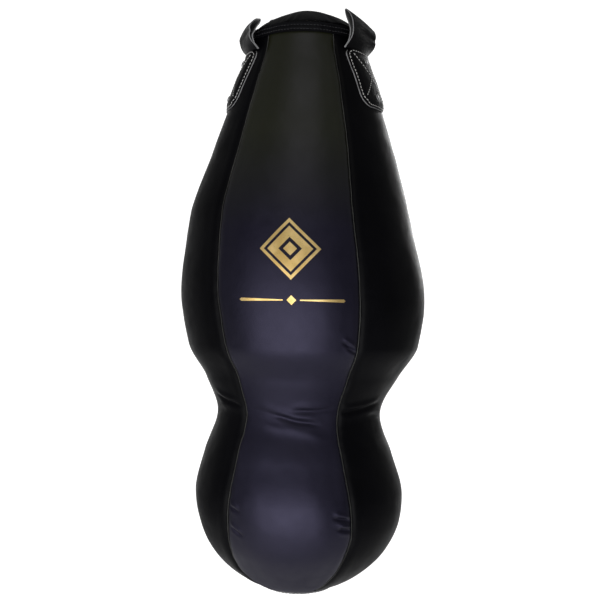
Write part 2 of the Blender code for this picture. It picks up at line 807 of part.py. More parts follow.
def rivet_places():
    """Frames on the patch's middle line: Z is the way out of the bag, at the leather's face."""
    for down in (RIVET_TOP_AT, RIVET_TOP_AT + RIVET_SPACING):
        point = on_strap(down, 0.0, 0.0)
        out = (on_strap(down, 0.0, 1.0) - point).normalized()
        side = Vector((1.0, 0.0, 0.0))
        turn = Matrix((side, out.cross(side), out)).transposed()
        yield Matrix.Translation(point) @ turn.to_4x4()


def turned(profile, place, sides=RIVET_SIDES):
    """Rings of a turned shape: the profile is (radius, height) pairs from one pole to the other."""
    rings = []
    for radius, height in profile:
        if radius == 0:
            rings.append([place @ Vector((0.0, 0.0, height))])
            continue
        turns = [2 * math.pi * k / sides for k in range(sides)]
        rings.append(
            [place @ Vector((radius * math.cos(t), radius * math.sin(t), height)) for t in turns]
        )
    return rings


def drill_mesh(name):
    work = bmesh.new()
    reach = 4 * LEATHER + 2 * STRAP_PLY
    for place in rivet_places():
        add_rings(work, turned([(RIVET_HOLE, -reach), (RIVET_HOLE, reach)], place, RIVET_HOLE_SIDES))
    return finish_mesh(name, work)


def build_rivets(finish, burr_finish):
    """Two rivets a strap, through patch, tail, panel and band, each clenched over a burr."""
    head_at = SEAT_GAP + 2 * STRAP_PLY + CLEARANCE + LEATHER + CLEARANCE
    band_face = -(LEATHER + CLEARANCE + BAND)
    burr_at = band_face - SEAT_GAP - CLEARANCE
    end_at = burr_at - BURR_THICKNESS - CLEARANCE
    profile = [
        (0.0, end_at - BURR_THICKNESS),
        (RIVET_END * RIVET_END_FLAT, end_at - BURR_THICKNESS),
        (RIVET_END, end_at),
        (RIVET_SHANK, end_at),
        (RIVET_SHANK, head_at),
    ]
    for out, up in RIVET_DOME:
        profile.append((RIVET_HEAD * out, head_at + RIVET_HEAD_HEIGHT * up))
    burr_hole = RIVET_SHANK + CLEARANCE
    burr = (
        (burr_hole, burr_at - BURR_THICKNESS),
        (BURR_RADIUS, burr_at - BURR_THICKNESS),
        (BURR_RADIUS, burr_at),
        (burr_hole, burr_at),
    )
    for i in STRAP_PANELS:
        turn = Matrix.Rotation(i * PANEL_ANGLE, 4, "Z")
        for row, place in zip(("upper", "lower"), rivet_places()):
            name = f"{PANEL_NAMES[i]}_{row}"
            rivet = rings_mesh(f"rivet_{name}", turned(profile, Matrix()))
            washer = rings_mesh(f"rivet_burr_{name}", turned(burr, Matrix()), wrap=True)
            new_object(f"rivet_{name}", rivet, finish).matrix_world = turn @ place
            new_object(f"rivet_burr_{name}", washer, burr_finish).matrix_world = turn @ place


def root_point():
    """A point of the loops' hinge line, in the middle of the two plies."""
    return surface(root_run(), 0.0, 2 * SEAT_GAP + STRAP_PLY)


def loop_centre(share):
    """How far the middle of the loop stands out from its root, at this share of its height."""
    return 4 * LOOP_STAND_OFF * share * (1 - share) + LOOP_LEAN * share * (2 * share - 1)


def loop_half_gap(share):
    if share > LOOP_FOLD:
        closing = (share - LOOP_FOLD) / (1 - LOOP_FOLD)
        return (LOOP_SEAT + (LOOP_GAP - LOOP_SEAT) * math.sqrt(1 - closing**2)) / 2
    opening = (share - LOOP_SPLIT) / (LOOP_FOLD - LOOP_SPLIT)
    return LOOP_GAP / 2 * math.sin(math.pi / 2 * opening)


def loop_levels():
    sides = spread(LOOP_SPLIT, LOOP_FOLD, LOOP_SIDE_LEVELS)
    turns = spread(0.0, math.pi / 2, LOOP_FOLD_LEVELS)[1:]
    return sides + [LOOP_FOLD + (1 - LOOP_FOLD) * math.sin(turn) for turn in turns]


def loop_section():
    """Side view of a loop as (out, up) from its root: the hole's points and the outside's."""
    hole, outside = {-1: [], 1: []}, {-1: [], 1: []}
    for share in loop_levels():
        up, middle, half = -share * root_point().z, loop_centre(share), loop_half_gap(share)
        closing = max(0.0, (share - LOOP_FOLD) / (1 - LOOP_FOLD)) * math.pi / 2
        for side in (-1, 1):
            hole[side].append((middle + side * half, up))
            outward = side * (half + STRAP_PLY * math.cos(closing))
            outside[side].append((middle + outward, up + STRAP_PLY * math.sin(closing)))
    turns = spread(0.0, math.pi, LOOP_FOOT_SIDES)
    foot = [(STRAP_PLY * math.cos(t), -STRAP_PLY * math.sin(t)) for t in turns]
    return hole, outside, foot


def loop_point(out, up, across):
    """Bends the strap round the neck at its root and lets it lie flat higher up."""
    radius, height = -root_point().y, -root_point().z
    curve = max(0.0, 1 - up / (LOOP_FLAT * height)) ** 2
    angle = across / radius
    depth = radius + out - curve * radius * (1 - math.cos(angle))
    aside = curve * radius * math.sin(angle) + (1 - curve) * across
    return Vector((aside, -depth, up - height))


def loop_mesh(name):
    hole, outside, foot = loop_section()
    around = foot + outside[-1] + outside[1][::-1]
    inside = hole[-1] + hole[1][:0:-1]
    work = bmesh.new()
    skins = []
    for ring_points in (around, inside):
        columns = []
        for across in spread(-LOOP_WIDTH / 2, LOOP_WIDTH / 2, LOOP_COLUMNS):
            columns.append([work.verts.new(loop_point(x, z, across)) for x, z in ring_points])
        for a, b in zip(columns, columns[1:]):
            for i in range(len(a)):
                j = (i + 1) % len(a)
                work.faces.new((a[i], a[j], b[j], b[i]))
        skins.append(columns)
    feet, levels = len(foot), len(loop_levels())
    for end in (0, -1):
        out, holes = skins[0][end], skins[1][end]
        left = out[feet : feet + levels]
        right = out[feet + levels :][::-1]
        hole_left = holes[:levels]
        hole_right = [holes[0], *holes[levels:][::-1]]
        for i in range(levels - 1):
            for skin, bore in ((left, hole_left), (right, hole_right)):
                work.faces.new((skin[i], skin[i + 1], bore[i + 1], bore[i]))
        work.faces.new((left[-1], right[-1], hole_right[-1], hole_left[-1]))
        fan = [right[0], *out[:feet], left[0]]
        for a, b in zip(fan, fan[1:]):
            work.faces.new((a, b, holes[0]))
    return finish_mesh(name, work)


def build_straps(strap_finish, patch_finish, drills):
    hinge = root_point()
    for i in STRAP_PANELS:
        name = PANEL_NAMES[i]
        turn = Matrix.Rotation(i * PANEL_ANGLE, 4, "Z")
        patch = new_object(f"strap_patch_{name}", patch_mesh(f"strap_patch_{name}"), patch_finish)
        tail = new_object(f"strap_tail_{name}", tail_mesh(f"strap_tail_{name}"), strap_finish)
        pocket = new_object(f"tail_pocket_{name}", pocket_mesh(f"tail_pocket_{name}"), None)
        for obj in (patch, tail, pocket):
            obj.matrix_world = turn
        cut(patch, pocket)
        cut(patch, drills[i])
        cut(tail, drills[i])
        loop = new_object(f"strap_loop_{name}", loop_mesh(f"strap_loop_{name}"), strap_finish)
        loop.data.transform(Matrix.Translation(-hinge))
        loop.matrix_world = turn @ Matrix.Translation(hinge)


def build_drills():
    drills = {}
    for i in STRAP_PANELS:
        name = f"rivet_drill_{PANEL_NAMES[i]}"
        drills[i] = new_object(name, drill_mesh(name), None)
        drills[i].rotation_euler.z = i * PANEL_ANGLE
    return drills


def main():
    for obj in list(bpy.data.objects):
        bpy.data.objects.remove(obj, do_unlink=True)
    body = material("body_leather", (0.012, 0.012, 0.014), 0.42)
    cord = material("seam_piping", (0.10, 0.10, 0.10), 0.5)
    strap = material("strap_leather", (0.020, 0.020, 0.023), 0.5)
    felt = material("padding_felt", (0.42, 0.41, 0.38), 0.95)
    rags = material("filling_textile", (0.35, 0.30, 0.27), 0.95)
    webbing = material("neck_webbing", (0.03, 0.03, 0.03), 0.85)
    tape = material("zip_tape", (0.015, 0.015, 0.015), 0.8)
    metal = material("dark_steel", (0.20, 0.20, 0.21), 0.35, 1.0)
    drills = build_drills()
    build_panels(body, drills)
    build_piping(cord)
    build_base_patch(body)
    build_padding_and_filling(felt, rags)
    build_neck_band(webbing, drills)
    build_collar(body)
    build_lid(body)
    build_tapes(tape)
    build_teeth(metal)
    build_slider(metal)
    build_pull(metal)
    build_straps(strap, strap, drills)
    build_rivets(metal, metal)


main()
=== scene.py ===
"""Looks of the heavy punching bag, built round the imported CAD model.

Metres, +Z up, the CAD's own frame: the origin is the middle of the hanging plane, the front panel
faces -Y, and an azimuth is measured from the front towards +X.
"""

from math import ceil, copysign, cos, pi, radians, sin, sqrt

import bpy
import numpy as np
from mathutils import Matrix, Vector


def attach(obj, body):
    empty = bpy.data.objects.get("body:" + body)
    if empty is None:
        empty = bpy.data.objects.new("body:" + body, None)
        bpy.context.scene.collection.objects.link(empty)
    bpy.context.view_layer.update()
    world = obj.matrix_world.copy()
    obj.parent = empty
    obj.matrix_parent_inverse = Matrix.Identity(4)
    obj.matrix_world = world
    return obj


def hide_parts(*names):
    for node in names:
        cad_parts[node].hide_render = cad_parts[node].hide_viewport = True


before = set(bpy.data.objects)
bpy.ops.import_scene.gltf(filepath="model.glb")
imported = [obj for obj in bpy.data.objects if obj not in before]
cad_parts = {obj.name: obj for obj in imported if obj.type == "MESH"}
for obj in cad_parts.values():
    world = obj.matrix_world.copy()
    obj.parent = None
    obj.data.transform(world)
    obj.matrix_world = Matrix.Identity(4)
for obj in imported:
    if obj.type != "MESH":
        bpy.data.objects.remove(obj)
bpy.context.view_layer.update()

scene = bpy.context.scene

# ---- the CAD's own sizes, repeated
STATIONS = (  # drop below the origin, radius
    (0.0260, 0.1118), (0.0450, 0.1147), (0.1469, 0.1500), (0.2815, 0.1938),
    (0.4153, 0.2322), (0.5647, 0.2530), (0.6642, 0.2392), (0.7311, 0.2007),
    (0.8066, 0.1706), (0.8894, 0.1958), (0.9714, 0.2155),
)
BASE_DEPTH = 0.2148
SEAM_DIP = 0.03
SEAM_POWER = 4
HALF_PANEL = radians(36)
LEATHER = 0.0022
PLY = 0.0022
SEAT_GAP = 0.0007
CLEARANCE = 0.0003
BASE_OPENING = 0.055
BASE_PATCH_RADIUS = 0.072
COLLAR_TOP = 0.0186
COLLAR_HEM = 0.0395
LID_SPHERE = 0.157
LID_CROWN = 0.031
LID_RIM = 0.1078
ZIP_LENGTH = 0.190
ZIP_OPENING = 0.016
TAPE_WIDTH = 0.0150
TAPE_DEPTH = 0.0033
CHAIN_GAP = 0.0030
PANEL_NAMES = ("front", "right", "rear_right", "rear_left", "left")
SEAM_NAMES = ("front_right", "right", "rear", "left", "front_left")
STRAP_PANELS = (1, 2, 3, 4)
PATCH_WIDTH = 0.110
PATCH_LENGTH = 0.125
PATCH_TOP_CORNER = 0.016
PATCH_BOTTOM_CORNER = 0.026
TAIL_WIDTH = 0.082
TAIL_LENGTH = 0.108
PATCH_BELOW_ROOT = 0.0018
RIVET_DOWN = (0.022, 0.101)
LOOP_ROOT = 0.063
LOOP_WIDTH = 0.110
LOOP_GAP = 0.015
LOOP_SEAT = 0.007
LOOP_STAND_OFF = 0.0070
LOOP_LEAN = -0.0020
LOOP_SPLIT = 0.15
LOOP_FOLD = 0.84
LOOP_FLAT = 0.55

# ---- the photograph's view: 600 x 600 pixels, a focal length of 1000 of them
CAMERA_TURN = radians(8)
CAMERA_DISTANCE = 2.1
CAMERA_HEIGHT = -0.573
CAMERA_ROLL = radians(1.1)
CAMERA_PAN = 0.0023
FOCAL_SHARE = 1000 / 600
SIDEWAYS = Vector((cos(CAMERA_TURN), sin(CAMERA_TURN), 0.0))

# ---- how the stuffed leather departs from the plain turned shape
BASE_RISE, BASE_RISE_FROM, BASE_RISE_TO = 0.008, 1.05, 1.18
SWAY = (  # height, sideways shift
    (-1.20, -0.001), (-1.03, 0.0025), (-0.95, -0.0005), (-0.85, -0.004),
    (-0.77, -0.001), (-0.73, 0.0025), (-0.67, 0.0045), (-0.60, 0.003),
    (-0.53, 0.0), (-0.48, -0.003), (-0.44, -0.006), (-0.39, -0.008),
    (-0.34, -0.006), (-0.28, -0.003), (-0.20, -0.0015), (-0.12, 0.0),
)
SEAM_DRIFT = {  # seam: heights and the degrees by which it wanders off its own azimuth
    4: (
        (-1.16, -4.5), (-1.11, -4.0), (-1.033, -0.3), (-0.953, 3.8),
        (-0.79, 5.5), (-0.554, 1.7), (-0.238, -0.2),
    ),
    0: (
        (-1.15, 0.0), (-1.033, 2.6), (-0.953, 0.4),
        (-0.79, -1.0), (-0.554, -1.9), (-0.238, -0.3),
    ),
}
# beside a seam: the groove's depth and width, then the swelling's height, place and width
SEAM_GROOVE, SEAM_GROOVE_WIDTH = 0.0032, 0.0042
SEAM_SWELL, SEAM_SWELL_AT, SEAM_SWELL_WIDTH = 0.0010, 0.014, 0.010
CREASE_FADE = (0.001, 0.010)  # creases grow between these distances from a seam
# azimuth in degrees, height, half length, fall per metre of length, depth, width
CREASES = (
    (6.0, -0.806, 0.060, -0.17, 0.0034, 0.0050),
    (4.0, -0.826, 0.090, -0.20, -0.0016, 0.0075),
    (18.0, -0.786, 0.052, 0.02, 0.0030, 0.0048),
    (-18.0, -0.792, 0.036, -0.16, 0.0014, 0.0060),
    (-46.0, -0.775, 0.044, -0.24, 0.0030, 0.0048),
    (-60.0, -0.800, 0.036, 0.10, 0.0013, 0.0050),
    (53.0, -0.786, 0.064, 0.14, 0.0030, 0.0048),
    (74.0, -0.806, 0.046, -0.08, 0.0016, 0.0050),
    (29.5, -0.657, 0.018, -0.50, 0.0030, 0.0034),
    (31.0, -0.666, 0.014, -0.45, 0.0026, 0.0030),
    (31.5, -0.989, 0.022, -0.22, 0.0036, 0.0040),
    (33.0, -1.011, 0.017, -0.15, 0.0034, 0.0036),
    (-28.0, -0.979, 0.014, -0.35, 0.0020, 0.0036),
    (-28.0, -1.023, 0.016, -0.50, 0.0020, 0.0036),
    (40.0, -0.562, 0.016, 0.10, 0.0012, 0.0040),
    (128.0, -0.792, 0.055, 0.06, 0.0024, 0.0050),
    (163.0, -0.806, 0.046, -0.10, 0.0022, 0.0050),
    (198.0, -0.790, 0.050, 0.08, 0.0024, 0.0050),
    (232.0, -0.801, 0.050, -0.06, 0.0024, 0.0050),
    (112.0, -0.985, 0.014, 0.50, 0.0020, 0.0036),
    (176.0, -0.670, 0.016, -0.60, 0.0020, 0.0036),
    (249.0, -0.995, 0.016, -0.50, 0.0020, 0.0036),
)


# ---- small helpers


def lattice(x, y, seed):
    """Smooth noise from -1 to 1 over arrays of coordinates."""
    table = np.random.default_rng(seed).uniform(-1, 1, (64, 64))
    x, y = np.broadcast_arrays(np.asarray(x, float), np.asarray(y, float))
    xi, yi = np.floor(x).astype(int), np.floor(y).astype(int)
    fx, fy = x - xi, y - yi
    fx, fy = fx * fx * (3 - 2 * fx), fy * fy * (3 - 2 * fy)
    a, b = table[xi % 64, yi % 64], table[(xi + 1) % 64, yi % 64]
    c, d = table[xi % 64, (yi + 1) % 64], table[(xi + 1) % 64, (yi + 1) % 64]
    return (a * (1 - fx) + b * fx) * (1 - fy) + (c * (1 - fx) + d * fx) * fy


def bell(x):
    return np.exp(-np.square(x))


def step(x, low, high):
    t = np.clip((x - low) / (high - low), 0, 1)
    return t * t * (3 - 2 * t)


def add_object(name, data):
    obj = bpy.data.objects.new(name, data)
    scene.collection.objects.link(obj)
    return obj


def make_mesh(name, points, faces, materials, index=None, smooth=50):
    mesh = bpy.data.meshes.new(name)
    mesh.from_pydata([tuple(p) for p in np.reshape(points, (-1, 3))], [], faces)
    for material in materials:
        mesh.materials.append(material)
    if index is not None:
        mesh.polygons.foreach_set("material_index", np.asarray(index, np.int32))
    mesh.update()
    mesh.shade_smooth()
    mesh.set_sharp_from_angle(angle=radians(smooth))
    return add_object(name, mesh)


def grid_faces(rows, columns, start=0, wrap=False, flip=False):
    """Quads of a grid of points, row by row."""
    faces = []
    for row in range(start, start + (rows - 1) * columns, columns):
        for j in range(columns if wrap else columns - 1):
            a, b = row + j, row + (j + 1) % columns
            quad = (a, a + columns, b + columns, b)
            faces.append(quad[::-1] if flip else quad)
    return faces


def end_faces(rows, columns, start=0):
    """The two faces that close a stack of rings."""
    last = start + (rows - 1) * columns
    return [tuple(range(start, start + columns)), tuple(range(last + columns - 1, last - 1, -1))]


def full_turn(count):
    return np.linspace(0, 2 * pi, count, endpoint=False)


def rings_along(line, out, lift, radius, sides):
    """Rings of points round lines of points, lifted off them along their unit normals."""
    aside = np.cross(np.gradient(line, axis=-2), out)
    aside /= np.linalg.norm(aside, axis=-1, keepdims=True)
    middle = line + out * np.asarray(lift)[..., None]
    turns = full_turn(sides)[:, None]
    spokes = out[..., None, :] * np.cos(turns) + aside[..., None, :] * np.sin(turns)
    return middle[..., None, :] + np.asarray(radius)[..., None, None] * spokes


def shell(name, outer, inner, skin, edge, wrap=False):
    """A closed sheet between two grids. Its rim takes the edge material."""
    rows, columns = outer.shape[:2]
    count = rows * columns
    faces = grid_faces(rows, columns, 0, wrap)
    faces += grid_faces(rows, columns, count, wrap, flip=True)
    last = count - columns
    first_row = [(j, (j + 1) % columns) for j in range(columns if wrap else columns - 1)]
    rim = first_row + [(last + b, last + a) for a, b in first_row]
    if not wrap:
        rim += [(i + columns, i) for i in range(0, last, columns)]
        rim += [(i + columns - 1, i + 2 * columns - 1) for i in range(0, last, columns)]
    index = [0] * len(faces) + [1] * len(rim)
    faces += [(a, b, b + count, a + count) for a, b in rim]
    points = np.concatenate([outer.reshape(-1, 3), inner.reshape(-1, 3)])
    return make_mesh(name, points, faces, [skin, edge], index)


# ---- the leather's surface


BASE_POINTS = 161


def outline():
    """(radius, height) pairs down a smooth line through the stations, and on round the base."""
    runs = [(b[1] - a[1]) / (b[0] - a[0]) for a, b in zip(STATIONS, STATIONS[1:])]
    slopes = [runs[0]]
    for before, after in zip(runs, runs[1:]):
        slopes.append(0.0 if before * after <= 0 else 2 * before * after / (before + after))
    slopes.append(0.0)
    parts = []
    t = np.arange(40) / 40
    for (d0, r0), (d1, r1), m0, m1 in zip(STATIONS, STATIONS[1:], slopes, slopes[1:]):
        run = d1 - d0
        radius = (1 + 2 * t) * (1 - t) ** 2 * r0 + t * (1 - t) ** 2 * run * m0
        radius = radius + t * t * (3 - 2 * t) * r1 + t * t * (t - 1) * run * m1
        parts.append(np.stack([radius, -d0 - run * t], -1))
    drop, radius = STATIONS[-1]
    turns = np.linspace(0, pi / 2, BASE_POINTS)
    parts.append(np.stack([radius * np.cos(turns), -drop - BASE_DEPTH * np.sin(turns)], -1))
    return np.concatenate(parts)


LINE = outline()
LINE_RUN = np.concatenate([[0.0], np.cumsum(np.hypot(*np.diff(LINE, axis=0).T))])
_slope = np.gradient(LINE, LINE_RUN, axis=0)
_slope /= np.hypot(*_slope.T)[:, None]
LINE_OUT, LINE_UP = -_slope[:, 1], _slope[:, 0]


def profile(run):
    """Radius, height and the surface's direction (out, up) at these runs down the outline."""
    return [np.interp(run, LINE_RUN, values) for values in (*LINE.T, LINE_OUT, LINE_UP)]


def run_at_height(height):
    return float(np.interp(-height, -LINE[:, 1], LINE_RUN))


def run_at_base_radius(radius):
    return float(np.interp(-radius, -LINE[-BASE_POINTS:, 0], LINE_RUN[-BASE_POINTS:]))


def pairs_at(pairs, x):
    return np.interp(x, *np.array(pairs).T)


def sway(points):
    """The bag's slight bends to the side, which everything on it follows."""
    shift = pairs_at(SWAY, points[..., 2])
    rise = BASE_RISE * step(-points[..., 2], BASE_RISE_FROM, BASE_RISE_TO)
    return points + shift[..., None] * np.array(SIDEWAYS) + rise[..., None] * np.array((0, 0, 1))


def seam_azimuth(seam, height):
    azimuth = (seam + 0.5) * 2 * HALF_PANEL
    drift = SEAM_DRIFT.get(seam % 5)
    if drift is not None:
        azimuth = azimuth + np.radians(pairs_at(drift, height))
    return azimuth


def relief(panel, u, azimuth, radius, height, half):
    """How far the leather stands out of the plain shape."""
    from_seam = (1 - np.abs(u)) * half * radius
    along = height + 0.0 * from_seam
    side = panel * 2 + (u > 0)
    rise = 0.0011 * lattice(azimuth * 2.2 + 9, along * 9.0, 11)
    rise += 0.00045 * lattice(azimuth * 5.0, along * 21.0, 12)
    rise += 0.00016 * lattice(azimuth * 13.0, along * 55.0, 13)
    pucker = lattice(along * 62.0 + side * 17.3, from_seam * 30.0 + side * 5.1, 14)
    pucker += 0.6 * lattice(along * 130.0 + side * 3.7, from_seam * 60.0, 15)
    strength = 0.0004 + 0.0006 * step(lattice(along * 7.0, side + 0.5, 16), -0.4, 0.8)
    rise += pucker * np.exp(-from_seam / 0.014) * strength
    rise += SEAM_SWELL * bell((from_seam - SEAM_SWELL_AT) / SEAM_SWELL_WIDTH)
    rise -= SEAM_GROOVE * bell(from_seam / SEAM_GROOVE_WIDTH)
    clear = step(from_seam, *CREASE_FADE)
    for degrees, at, reach, fall, depth, width in CREASES:
        off = azimuth - radians(degrees)
        off = (off + pi) % (2 * pi) - pi
        x = off * radius
        y = height - at - fall * x + 0.0022 * lattice(x * 30 + degrees, 0.0, 17)
        window = step(1 - np.abs(x) / reach, 0.0, 0.6)
        groove = -bell(y / width) + 0.75 * bell((y - 2.0 * width) / (1.4 * width))
        groove += 0.35 * bell((y + 2.2 * width) / (1.6 * width))
        rise += depth * window * groove * clear
    if panel in STRAP_PANELS:
        under = step(height, -0.225, -0.200) * (1 - step(np.abs(u), 0.78, 0.95))
        rise *= 1 - under
    return rise * step(-height, 0.040, 0.075)


def skin(panel, run, u, lift=0.0):
    """Points of one panel's outer face, for arrays of run and of u from seam to seam."""
    run, u = np.broadcast_arrays(np.asarray(run, float), np.asarray(u, float))
    radius, height, out, up = profile(run)
    left, right = seam_azimuth(panel - 1, height), seam_azimuth(panel, height)
    azimuth, half = (left + right) / 2 + u * (right - left) / 2, (right - left) / 2
    rise = lift + relief(panel, u, azimuth, radius, height, half)
    r = (radius + rise * out) * (1 - SEAM_DIP * np.abs(u) ** SEAM_POWER)
    points = np.stack([r * np.sin(azimuth), -r * np.cos(azimuth), height + rise * up], -1)
    return sway(points)


def plain(azimuth, run, lift=0.0):
    """Points of the plain shape, for arrays of azimuth and run."""
    azimuth, run = np.broadcast_arrays(np.asarray(azimuth, float), np.asarray(run, float))
    radius, height, out, up = profile(run)
    off = (azimuth + HALF_PANEL) % (2 * HALF_PANEL) - HALF_PANEL
    r = (radius + lift * out) * (1 - SEAM_DIP * np.abs(off / HALF_PANEL) ** SEAM_POWER)
    points = np.stack([r * np.sin(azimuth), -r * np.cos(azimuth), height + lift * up], -1)
    return sway(points)


# ---- materials


def link(source, target):
    source.id_data.links.new(source, target)


def set_up(made, settings):
    """Sets a node's sockets, and its own properties where no socket has the name."""
    for key, value in settings.items():
        if key in made.inputs.keys():
            made.inputs[key].default_value = value
        else:
            setattr(made, key, value)
    return made


def node(tree, kind, **settings):
    return set_up(tree.nodes.new("ShaderNode" + kind), settings)


def base_material(name, roughness, metallic=0.0, level=0.5):
    material = bpy.data.materials.new(name)
    material.use_nodes = True
    tree = material.node_tree
    settings = {"Roughness": roughness, "Metallic": metallic, "Specular IOR Level": level}
    shader = set_up(tree.nodes["Principled BSDF"], settings)
    where = node(tree, "TexCoord").outputs["Object"]
    return material, tree, shader, where


def noise_of(tree, where, scale, detail=3.0, roughness=0.5, stretch=None):
    if stretch is not None:
        mapping = node(tree, "Mapping", Scale=stretch)
        link(where, mapping.inputs["Vector"])
        where = mapping.outputs["Vector"]
    made = node(tree, "TexNoise", Scale=scale, Detail=detail, Roughness=roughness)
    link(where, made.inputs["Vector"])
    return made.outputs["Fac"]


def cells_of(tree, where, scale):
    made = node(tree, "TexVoronoi", Scale=scale)
    link(where, made.inputs["Vector"])
    return made.outputs["Distance"]


def ramp_of(tree, value, low, high, to_low=0.0, to_high=1.0):
    settings = {"From Min": low, "From Max": high, "To Min": to_low, "To Max": to_high}
    made = node(tree, "MapRange", **settings)
    link(value, made.inputs["Value"])
    return made.outputs["Result"]


def mix_colours(tree, share, a, b):
    made = node(tree, "Mix", data_type="RGBA")
    link(share, made.inputs[0])
    for socket, colour in ((made.inputs[6], a), (made.inputs[7], b)):
        if isinstance(colour, tuple):
            socket.default_value = (*colour, 1.0)
        else:
            link(colour, socket)
    return made.outputs[2]


def maths(tree, operation, a, b=None):
    made = node(tree, "Math", operation=operation)
    link(a, made.inputs[0])
    if b is not None:
        link(b, made.inputs[1])
    return made.outputs[0]


def sum_of(tree, a, b, weight):
    made = node(tree, "Math", operation="MULTIPLY_ADD")
    made.inputs[1].default_value = weight
    link(b, made.inputs[0])
    link(a, made.inputs[2])
    return made.outputs[0]


def bump_of(tree, shader, height, strength, distance):
    made = node(tree, "Bump", Strength=strength, Distance=distance)
    link(height, made.inputs["Height"])
    link(made.outputs["Normal"], shader.inputs["Normal"])


def dull_beside_seams(tree, split):
    """From 0 to 1 towards both sides of the front, over the heights round its waist."""
    share = ramp_of(tree, maths(tree, "ABSOLUTE", split.outputs["X"]), *DULL_ASIDE)
    share = maths(tree, "MULTIPLY", share, ramp_of(tree, split.outputs["Z"], *DULL_FROM))
    return maths(tree, "MULTIPLY", share, ramp_of(tree, split.outputs["Z"], *DULL_TO, 1.0, 0.0))


GRAIN = 620.0  # cells of the leather's grain per metre
# heights between which the front's colour turns into the lighter olive of its upper part, a painted
# highlight on the neck
PAINTED_HIGHLIGHT_FADE = (-0.44, -0.24)
# heights between which the front's leather turns rougher: creased at the waist, rubbed at the base
RUBBED = ((-0.70, -0.77, 0.15), (-0.83, -0.90, -0.15), (-1.08, -1.15, 0.38))
# and those between which it is creased and dull beside its seams, this far from its middle
DULL_FROM, DULL_TO, DULL_ASIDE, DULL_BY = (-0.67, -0.75), (-0.89, -0.96), (0.040, 0.085), 0.36


def leather(name, low, high, roughness, level, grain=GRAIN, bump=0.30, upper=None, tint=None):
    """Grained leather: cells and fine noise in the surface, cloudy colour and gloss; a given upper
    colour is a painted highlight, blended in by height.
    """
    material, tree, shader, where = base_material(name, roughness, level=level)
    if tint is not None:
        shader.inputs["Specular Tint"].default_value = (*tint, 1.0)
    height = sum_of(tree, cells_of(tree, where, grain), noise_of(tree, where, grain * 2.3), 0.5)
    height = sum_of(tree, height, noise_of(tree, where, 60.0, 4.0), 1.2)
    bump_of(tree, shader, height, bump, 0.00045)
    cloud = ramp_of(tree, noise_of(tree, where, 7.0, 5.0, 0.6), 0.35, 0.65)
    colour = mix_colours(tree, cloud, low, high)
    # painted highlight: the colour turns lighter and olive towards the neck
    if upper is not None:
        split = node(tree, "SeparateXYZ")
        link(where, split.inputs[0])
        share = ramp_of(tree, split.outputs["Z"], *PAINTED_HIGHLIGHT_FADE)
        colour = mix_colours(tree, share, colour, upper)
    link(colour, shader.inputs["Base Color"])
    gloss = noise_of(tree, where, 16.0, 6.0, 0.65)
    gloss = ramp_of(tree, gloss, 0.3, 0.7, roughness - 0.07, roughness + 0.08)
    if upper is not None:
        for start, end, change in RUBBED:
            gloss = sum_of(tree, gloss, ramp_of(tree, split.outputs["Z"], start, end), change)
        gloss = sum_of(tree, gloss, dull_beside_seams(tree, split), DULL_BY)
    link(gloss, shader.inputs["Roughness"])
    return material


def fibre(name, low, high, scale, stretch=None, bump=0.6, distance=0.0006):
    """Thread, webbing, felt or a raw cut edge: fuzzy and matt."""
    material, tree, shader, where = base_material(name, 0.9, level=0.2)
    shader.inputs["Sheen Weight"].default_value = 0.2
    fuzz = noise_of(tree, where, scale, 6.0, 0.7, stretch)
    share = ramp_of(tree, fuzz, 0.35, 0.65)
    link(mix_colours(tree, share, low, high), shader.inputs["Base Color"])
    bump_of(tree, shader, fuzz, bump, distance)
    return material


def metal(name, low, high, roughness, scale=320.0):
    material, tree, shader, where = base_material(name, roughness, metallic=1.0)
    worn = noise_of(tree, where, scale, 6.0, 0.65)
    share = ramp_of(tree, worn, 0.4, 0.62)
    link(mix_colours(tree, share, low, high), shader.inputs["Base Color"])
    gloss = ramp_of(tree, worn, 0.3, 0.7, roughness + 0.12, roughness - 0.08)
    link(gloss, shader.inputs["Roughness"])
    bump_of(tree, shader, worn, 0.15, 0.0002)
    return material


def foil(name):
    """Thin gold print on the leather, with the grain showing through and small worn spots."""
    material, tree, shader, where = base_material(name, 0.36, metallic=1.0)
    bump_of(tree, shader, cells_of(tree, where, GRAIN), 0.25, 0.0004)
    cloud = ramp_of(tree, noise_of(tree, where, 30.0, 4.0), 0.35, 0.65)
    gold = mix_colours(tree, cloud, (0.66, 0.45, 0.16), (0.90, 0.67, 0.30))
    specks = ramp_of(tree, noise_of(tree, where, 900.0, 2.0), 0.66, 0.72, 0.0, 0.8)
    colour = mix_colours(tree, specks, gold, (0.03, 0.025, 0.02))
    link(colour, shader.inputs["Base Color"])
    return material


# The front is the lit copy of the same black leather as the sides: its lighter, bluer colour is a
# painted violet sheen.
FRONT = leather(
    "front_leather_painted_sheen", (0.0014, 0.0013, 0.0036), (0.0025, 0.0022, 0.0052), 0.38, 0.43,
    # upper: lighter olive towards the neck, a painted highlight
    upper=(0.0095, 0.0108, 0.0010), tint=(0.66, 0.62, 1.0),
)
# The sides, the base and the panels' edges: the same leather as the front, darker and far less glossy,
# painted shade.
SIDE = leather("side_leather_painted_shade", (0.0008, 0.0008, 0.0014), (0.0017, 0.0017, 0.0026), 0.44, 0.06)
TOP = leather("top_leather", (0.0020, 0.0020, 0.0028), (0.0036, 0.0036, 0.0048), 0.50, 0.07)
STRAP = leather(
    "strap_leather", (0.0014, 0.0014, 0.0020), (0.0026, 0.0026, 0.0035), 0.50, 0.08,
    grain=420.0, bump=0.4,
)
RAW = fibre("raw_edge", (0.12, 0.12, 0.125), (0.28, 0.28, 0.29), 900.0)
